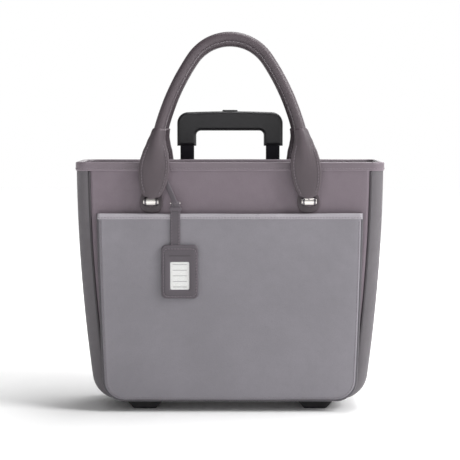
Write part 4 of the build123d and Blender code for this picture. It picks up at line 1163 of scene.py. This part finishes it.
def make_sleeve():
    """Padded laptop sleeve: a quilted front pad, two side pads and a bottom pad."""
    low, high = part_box("laptop_sleeve")
    pad, skin = 5 * MM, 0.7 * MM
    reach = half_at(low.z + 20 * MM, WALL + LINING + 3 * MM)
    front = rounded_box("sleeve_front_pad", Vector((-reach, low.y + skin, low.z + skin)),
                        Vector((reach, low.y + pad - skin, high.z - skin)), 1.6 * MM, "sleeve_fabric",
                        replaces=["laptop_sleeve"])
    work = bmesh.new()
    work.from_mesh(front.data)
    for vertex in work.verts:
        share = (vertex.co.z - low.z) / (high.z - low.z)
        vertex.co.x *= 1 + (half_at(vertex.co.z, WALL + LINING + 3 * MM) / reach - 1)
        vertex.co.z -= 2 * MM * share * (1 - (vertex.co.x / reach) ** 2)
    work.to_mesh(front.data)
    work.free()
    inflate(front, 2.2 * MM, 1.4 * MM)
    quilt(front, low.y, pad)
    for sign, label in ((-1, "left"), (1, "right")):
        rows = []
        for i in range(31):
            z = low.z + pad + (high.z - low.z - pad) * i / 30
            outer = half_at(z, WALL + LINING + 1.6 * MM)
            ring = []
            for a in around(20):
                u = powered(math.cos(a), 0.5)
                v = powered(math.sin(a), 0.35)
                ring.append(Vector((sign * (outer - pad / 2 + u * pad * 0.44), (low.y + pad + high.y) / 2
                                    + v * (high.y - low.y - pad - 1.5 * MM) / 2, z)))
            rows.append(ring)
        side = loft(f"sleeve_side_{label}", rows, "sleeve_fabric", wrap_columns=True, caps=True)
    bottom = rounded_box("sleeve_bottom_pad", Vector((-reach + 6 * MM, low.y + pad, low.z + 0.4 * MM)),
                         Vector((reach - 6 * MM, high.y - 0.8 * MM, low.z + pad - 0.4 * MM)),
                         1.8 * MM, "sleeve_fabric")
    rows = []
    for i in range(61):
        x = (2 * i / 60 - 1) * half_at(high.z - 4 * MM, WALL + LINING + 3 * MM)
        sag = 2 * MM * (1 - (x / reach) ** 2)
        ring = []
        for a in around(18):
            v = powered(math.sin(a), 0.4)
            y = low.y + pad / 2 + math.cos(a) * (pad / 2 + 0.3 * MM)
            ring.append(Vector((x, y, high.z - 4.2 * MM - sag + v * 4 * MM)))
        rows.append(ring)
    loft("sleeve_binding", rows, "trim_leather", wrap_columns=True, caps=True)


def quilt(piece, face_y, pad):
    """Sewn channels across a pad, pressed into both of its faces."""
    middle = face_y + pad / 2
    for vertex in piece.data.vertices:
        x, z = vertex.co.x, vertex.co.z
        gap = min(abs((x + z) % 0.05 - 0.025), abs((x - z) % 0.05 - 0.025))
        press = 0.9 * MM * math.exp(-((gap / (2.2 * MM)) ** 2))
        vertex.co.y -= math.copysign(min(press, abs(vertex.co.y - middle) * 0.6), vertex.co.y - middle)


def make_closure():
    """Padded strap that keeps the laptop in, folded over the sleeve's mouth."""
    low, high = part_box("sleeve_strap")
    half = (high.x - low.x) / 2 - 0.3 * MM
    thick = 3 * MM
    radius = 3 * MM
    top_y0, top_y1 = low.y + thick / 2, high.y - 1.0 * MM
    path = [Vector((0, top_y1, high.z - thick / 2))]
    for i in range(1, 12):
        t = i / 12
        dip = 0.25 * MM * math.sin(math.pi * t)
        path.append(Vector((0, top_y1 + (top_y0 + radius - top_y1) * t, high.z - thick / 2 - dip)))
    for i in range(9):
        a = math.radians(90 + 90 * i / 8)
        z = high.z - thick / 2 - radius + radius * math.sin(a)
        path.append(Vector((0, top_y0 + radius + radius * math.cos(a), z)))
    drop = low.z + 0.6 * MM - high.z + thick / 2 + radius
    for i in range(1, 14):
        path.append(Vector((0, top_y0, high.z - thick / 2 - radius + drop * i / 13)))
    rows = []
    for i, point in enumerate(path):
        tangent = (path[min(i + 1, len(path) - 1)] - path[max(i - 1, 0)]).normalized()
        normal = tangent.cross(ACROSS).normalized()
        taper = 1.0 if i < len(path) - 4 else 1 - 0.12 * (i - len(path) + 4) ** 1.4 / 4
        ring = []
        for a in around(28):
            u = powered(math.cos(a), 0.3)
            v = powered(math.sin(a), 0.7)
            ring.append(point + Vector((u * half * taper, 0, 0)) + normal * (v * thick / 2 * 0.95))
        rows.append(ring)
    strap = loft("sleeve_strap_pad", rows, "sleeve_fabric", wrap_columns=True, caps=True,
                 body="sleeve_closure", replaces=["sleeve_strap"])
    lines = []
    for sign in (-1, 1):
        x = sign * (half - 3.2 * MM)
        y = top_y0 - thick / 2 + 0.05 * MM
        points = [Vector((x, y, high.z - 8 * MM - 30 * MM * i / 12)) for i in range(13)]
        lines.append((points, facing(0, -1, 0)))
    stitches("sleeve_strap_stitching", lines, body="sleeve_closure")


def make_organiser():
    """Soft flat pocket on the inside of the front wall, its mouth bound and gaping a little."""
    low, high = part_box("organiser_pocket")
    half = (high.x - low.x) / 2
    wall_y, face_y = low.y + 0.6 * MM, high.y - 0.4 * MM
    rows, mouth = [], []
    for i in range(37):
        t = i / 36
        z = low.z + (high.z - low.z) * t
        row = []
        for k in range(61):
            u = 2 * k / 60 - 1
            x = half * u
            away = (1 - abs(u) ** 7) * min(1.0, t * 9)
            y = wall_y + (face_y - wall_y) * away + ripple((x, 0, z), 0.5 * MM, 0.03, 51.0) * (1 - u * u)
            row.append(Vector((x, min(y, high.y - 0.3 * MM), z)))
        rows.append(row)
        mouth = row
    pocket = loft("organiser_fabric", rows, "lining_fabric", replaces=["organiser_pocket"])
    thicken(pocket, 1.2 * MM, Vector((0.0, FRONT - 0.1, 0.2)))
    ring_rows = []
    for i, point in enumerate(mouth):
        ring_rows.append([point + Vector((0, -0.6 * MM + 1.25 * MM * math.cos(a), -3 * MM
                                          + powered(math.sin(a), 0.4) * 3 * MM))
                          for a in around(14)])
    loft("organiser_binding", ring_rows, "trim_leather", wrap_columns=True, caps=True)


def make_trolley_cover():
    """Leather cover over the trolley tubes, with a sewn border on its soft back face."""
    low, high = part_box("trolley_cover")
    rows = []
    half = (high.x - low.x) / 2
    edge = 7 * MM
    for i in range(41):
        z = low.z + (high.z - low.z) * i / 40
        row = []
        for x, y in cover_section(half, low.y - 0.4 * MM, high.y, edge):
            soft = max(0.0, 1 - (x / (half - edge)) ** 2) if abs(x) < half - edge else 0.0
            t = (z - low.z) / (high.z - low.z)
            bulge = soft * (0.9 * MM * math.sin(math.pi * t) + ripple((x, 0, z), 0.6 * MM, 0.05, 61.0))
            row.append(Vector((x, y + bulge, z)))
        rows.append(row)
    cover = loft("trolley_sleeve", rows, "body_leather", replaces=["trolley_cover"])
    thicken(cover, 2.0 * MM, BAG_MIDDLE)
    inset = 9 * MM
    y = high.y + 0.35 * MM
    x, z_low, z_high = half - inset, low.z + inset, high.z - inset
    corners = [(-x, z_high), (-x, z_low), (x, z_low), (x, z_high), (-x, z_high)]
    line = [Vector((across, y, z)) for across, z in corners]
    stitches("trolley_sleeve_stitching", [(line, facing(0, 1, 0))])


def cover_section(half, wall_y, back_y, edge):
    """Section of the trolley cover seen from above, from its left side round the back."""
    points = [(-half, wall_y + (back_y - edge - wall_y) * i / 6) for i in range(6)]

    def corner(x, start):
        for i in range(9):
            a = math.radians(start - 90 * i / 8)
            points.append((x + edge * math.cos(a), back_y - edge + edge * math.sin(a)))

    corner(-half + edge, 180)
    points += [(-half + edge + (2 * half - 2 * edge) * i / 40, back_y) for i in range(1, 40)]
    corner(half - edge, 90)
    points += [(half, back_y - edge - (back_y - edge - wall_y) * i / 6) for i in range(1, 7)]
    return points


# ================================================================ build everything
make_gusset()
make_panel("front_face", "front_panel", FRONT, 1)
rear = make_panel("rear_face", "back_panel", BACK, -1)
cut_for_wheels(rear)
make_piping("front_piping_roll", "front_piping", FRONT, 1)
make_piping("rear_piping_roll", "rear_piping", BACK, -1)
make_rim()
make_lining()
make_pocket_binding(make_pocket())
make_handle("front")
make_handle("rear")
make_tag()
make_sleeve()
make_closure()
make_organiser()
make_trolley_cover()

board_low, board_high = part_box("base_board")
rounded_box("base_cushion", board_low + Vector((0, 0, 0.2 * MM)), board_high + Vector((0, 0, 0.4 * MM)),
            1.4 * MM, "board_plastic", replaces=["base_board"])

# CAD nodes that stay on show take the detailed material of their slot.
for name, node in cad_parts.items():
    if node.hide_render:
        continue
    for index, material_slot in enumerate(node.material_slots):
        key = material_slot.material.name.split(".")[0]
        # The nickel brackets take the darker metal as a painted dark reflection.
        if name == "handle_brackets":
            key = "bracket_nickel_painted_dark"
        node.material_slots[index].material = paint[key]

# ================================================================ stage, light and camera
world = bpy.data.worlds.new("studio")
bpy.context.scene.world = world
world.use_nodes = True
sky = world.node_tree
direction = sky.nodes.new("ShaderNodeTexCoord")
parts = sky.nodes.new("ShaderNodeSeparateXYZ")
sky.links.new(direction.outputs["Generated"], parts.inputs[0])


def sky_ramp(axis, low, high, to_low, to_high):
    """Smooth change of the studio's brightness along one axis."""
    ramp = sky.nodes.new("ShaderNodeMapRange")
    ramp.interpolation_type = "SMOOTHSTEP"
    for key, number in (("From Min", low), ("From Max", high), ("To Min", to_low), ("To Max", to_high)):
        ramp.inputs[key].default_value = number
    sky.links.new(parts.outputs[axis], ramp.inputs["Value"])
    return ramp.outputs["Result"]


def sky_math(operation, a, b):
    """One step of arithmetic on the studio's brightness."""
    node = sky.nodes.new("ShaderNodeMath")
    node.operation = operation
    sky.links.new(a, node.inputs[0])
    sky.links.new(b, node.inputs[1])
    return node.outputs[0]


# Dim to the left above a pale horizon, and dim overhead, where the lamps take over.
to_left = sky_ramp("X", -0.7, -0.15, 1.0, 0.0)
above_horizon = sky_ramp("Z", 0.06, 0.24, 0.0, 0.92)
left_shade = sky_math("MULTIPLY", to_left, above_horizon)
lit = sky.nodes.new("ShaderNodeMath")
lit.operation = "SUBTRACT"
lit.inputs[0].default_value = 1.0
sky.links.new(left_shade, lit.inputs[1])
strength = sky_math("MULTIPLY", lit.outputs[0], sky_ramp("Z", 0.35, 0.65, 1.0, 0.3))
sky.links.new(strength, sky.nodes["Background"].inputs["Strength"])
sky.nodes["Background"].inputs["Color"].default_value = (1.0, 1.0, 1.0, 1.0)

floor_mesh = bpy.data.meshes.new("floor")
floor_mesh.from_pydata([(-6, -6, 0), (6, -6, 0), (6, 6, 0), (-6, 6, 0)], [], [(0, 1, 2, 3)])
floor = bpy.data.objects.new("floor", floor_mesh)
bpy.context.scene.collection.objects.link(floor)
t = Tree("floor_painted_glow", 0.9)
grain = t.noise(30.0, 3.0)
span = t.add("ShaderNodeVectorMath", operation="LENGTH")
t.link(t.coords, span.inputs[0])
# The floor glows more the farther it is from the bag: painted light that whitens the far floor while the
# shade near the bag stays.
t.shader.inputs["Emission Color"].default_value = (1.0, 1.0, 1.0, 1.0)
t.link(t.remap(span.outputs["Value"], 0.35, 1.5, 0.0, 0.62), t.shader.inputs["Emission Strength"])
floor_mesh.materials.append(t.finish(t.mix(grain, (0.97, 0.97, 0.97), (0.99, 0.99, 0.99)), None))


def area_light(name, place, target, size, power):
    """Soft rectangular lamp aimed at a point."""
    data = bpy.data.lights.new(name, "AREA")
    data.shape = "RECTANGLE"
    data.size, data.size_y = size
    data.energy = power
    lamp = bpy.data.objects.new(name, data)
    lamp.location = place
    lamp.rotation_euler = (Vector(target) - Vector(place)).to_track_quat("-Z", "Y").to_euler()
    bpy.context.scene.collection.objects.link(lamp)


LAMP_TARGET = (0, 0, 0.2)
area_light("key", (2.0, -1.0, 1.6), LAMP_TARGET, (0.9, 1.2), 52)
area_light("fill", (-1.0, -2.6, 1.4), LAMP_TARGET, (1.2, 1.2), 5)
area_light("top", (0.5, 0.2, 2.2), LAMP_TARGET, (1.6, 1.0), 32)
area_light("rear", (0.9, 2.2, 1.3), LAMP_TARGET, (1.4, 1.4), 16)

CAMERA_PLACE = (0.0, -2.18, 0.41)
CAMERA_AIM = Vector((0.0, -0.069, 0.2495))
SENSOR_WIDTH, FOCAL_LENGTH = 36, 121.5
camera_data = bpy.data.cameras.new("camera")
camera_data.sensor_width = SENSOR_WIDTH
camera_data.lens = FOCAL_LENGTH
camera = bpy.data.objects.new("camera", camera_data)
camera.location = CAMERA_PLACE
camera.rotation_euler = (CAMERA_AIM - camera.location).to_track_quat("-Z", "Y").to_euler()
bpy.context.scene.collection.objects.link(camera)
bpy.context.scene.camera = camera
bpy.context.scene.view_settings.view_transform = "Standard"
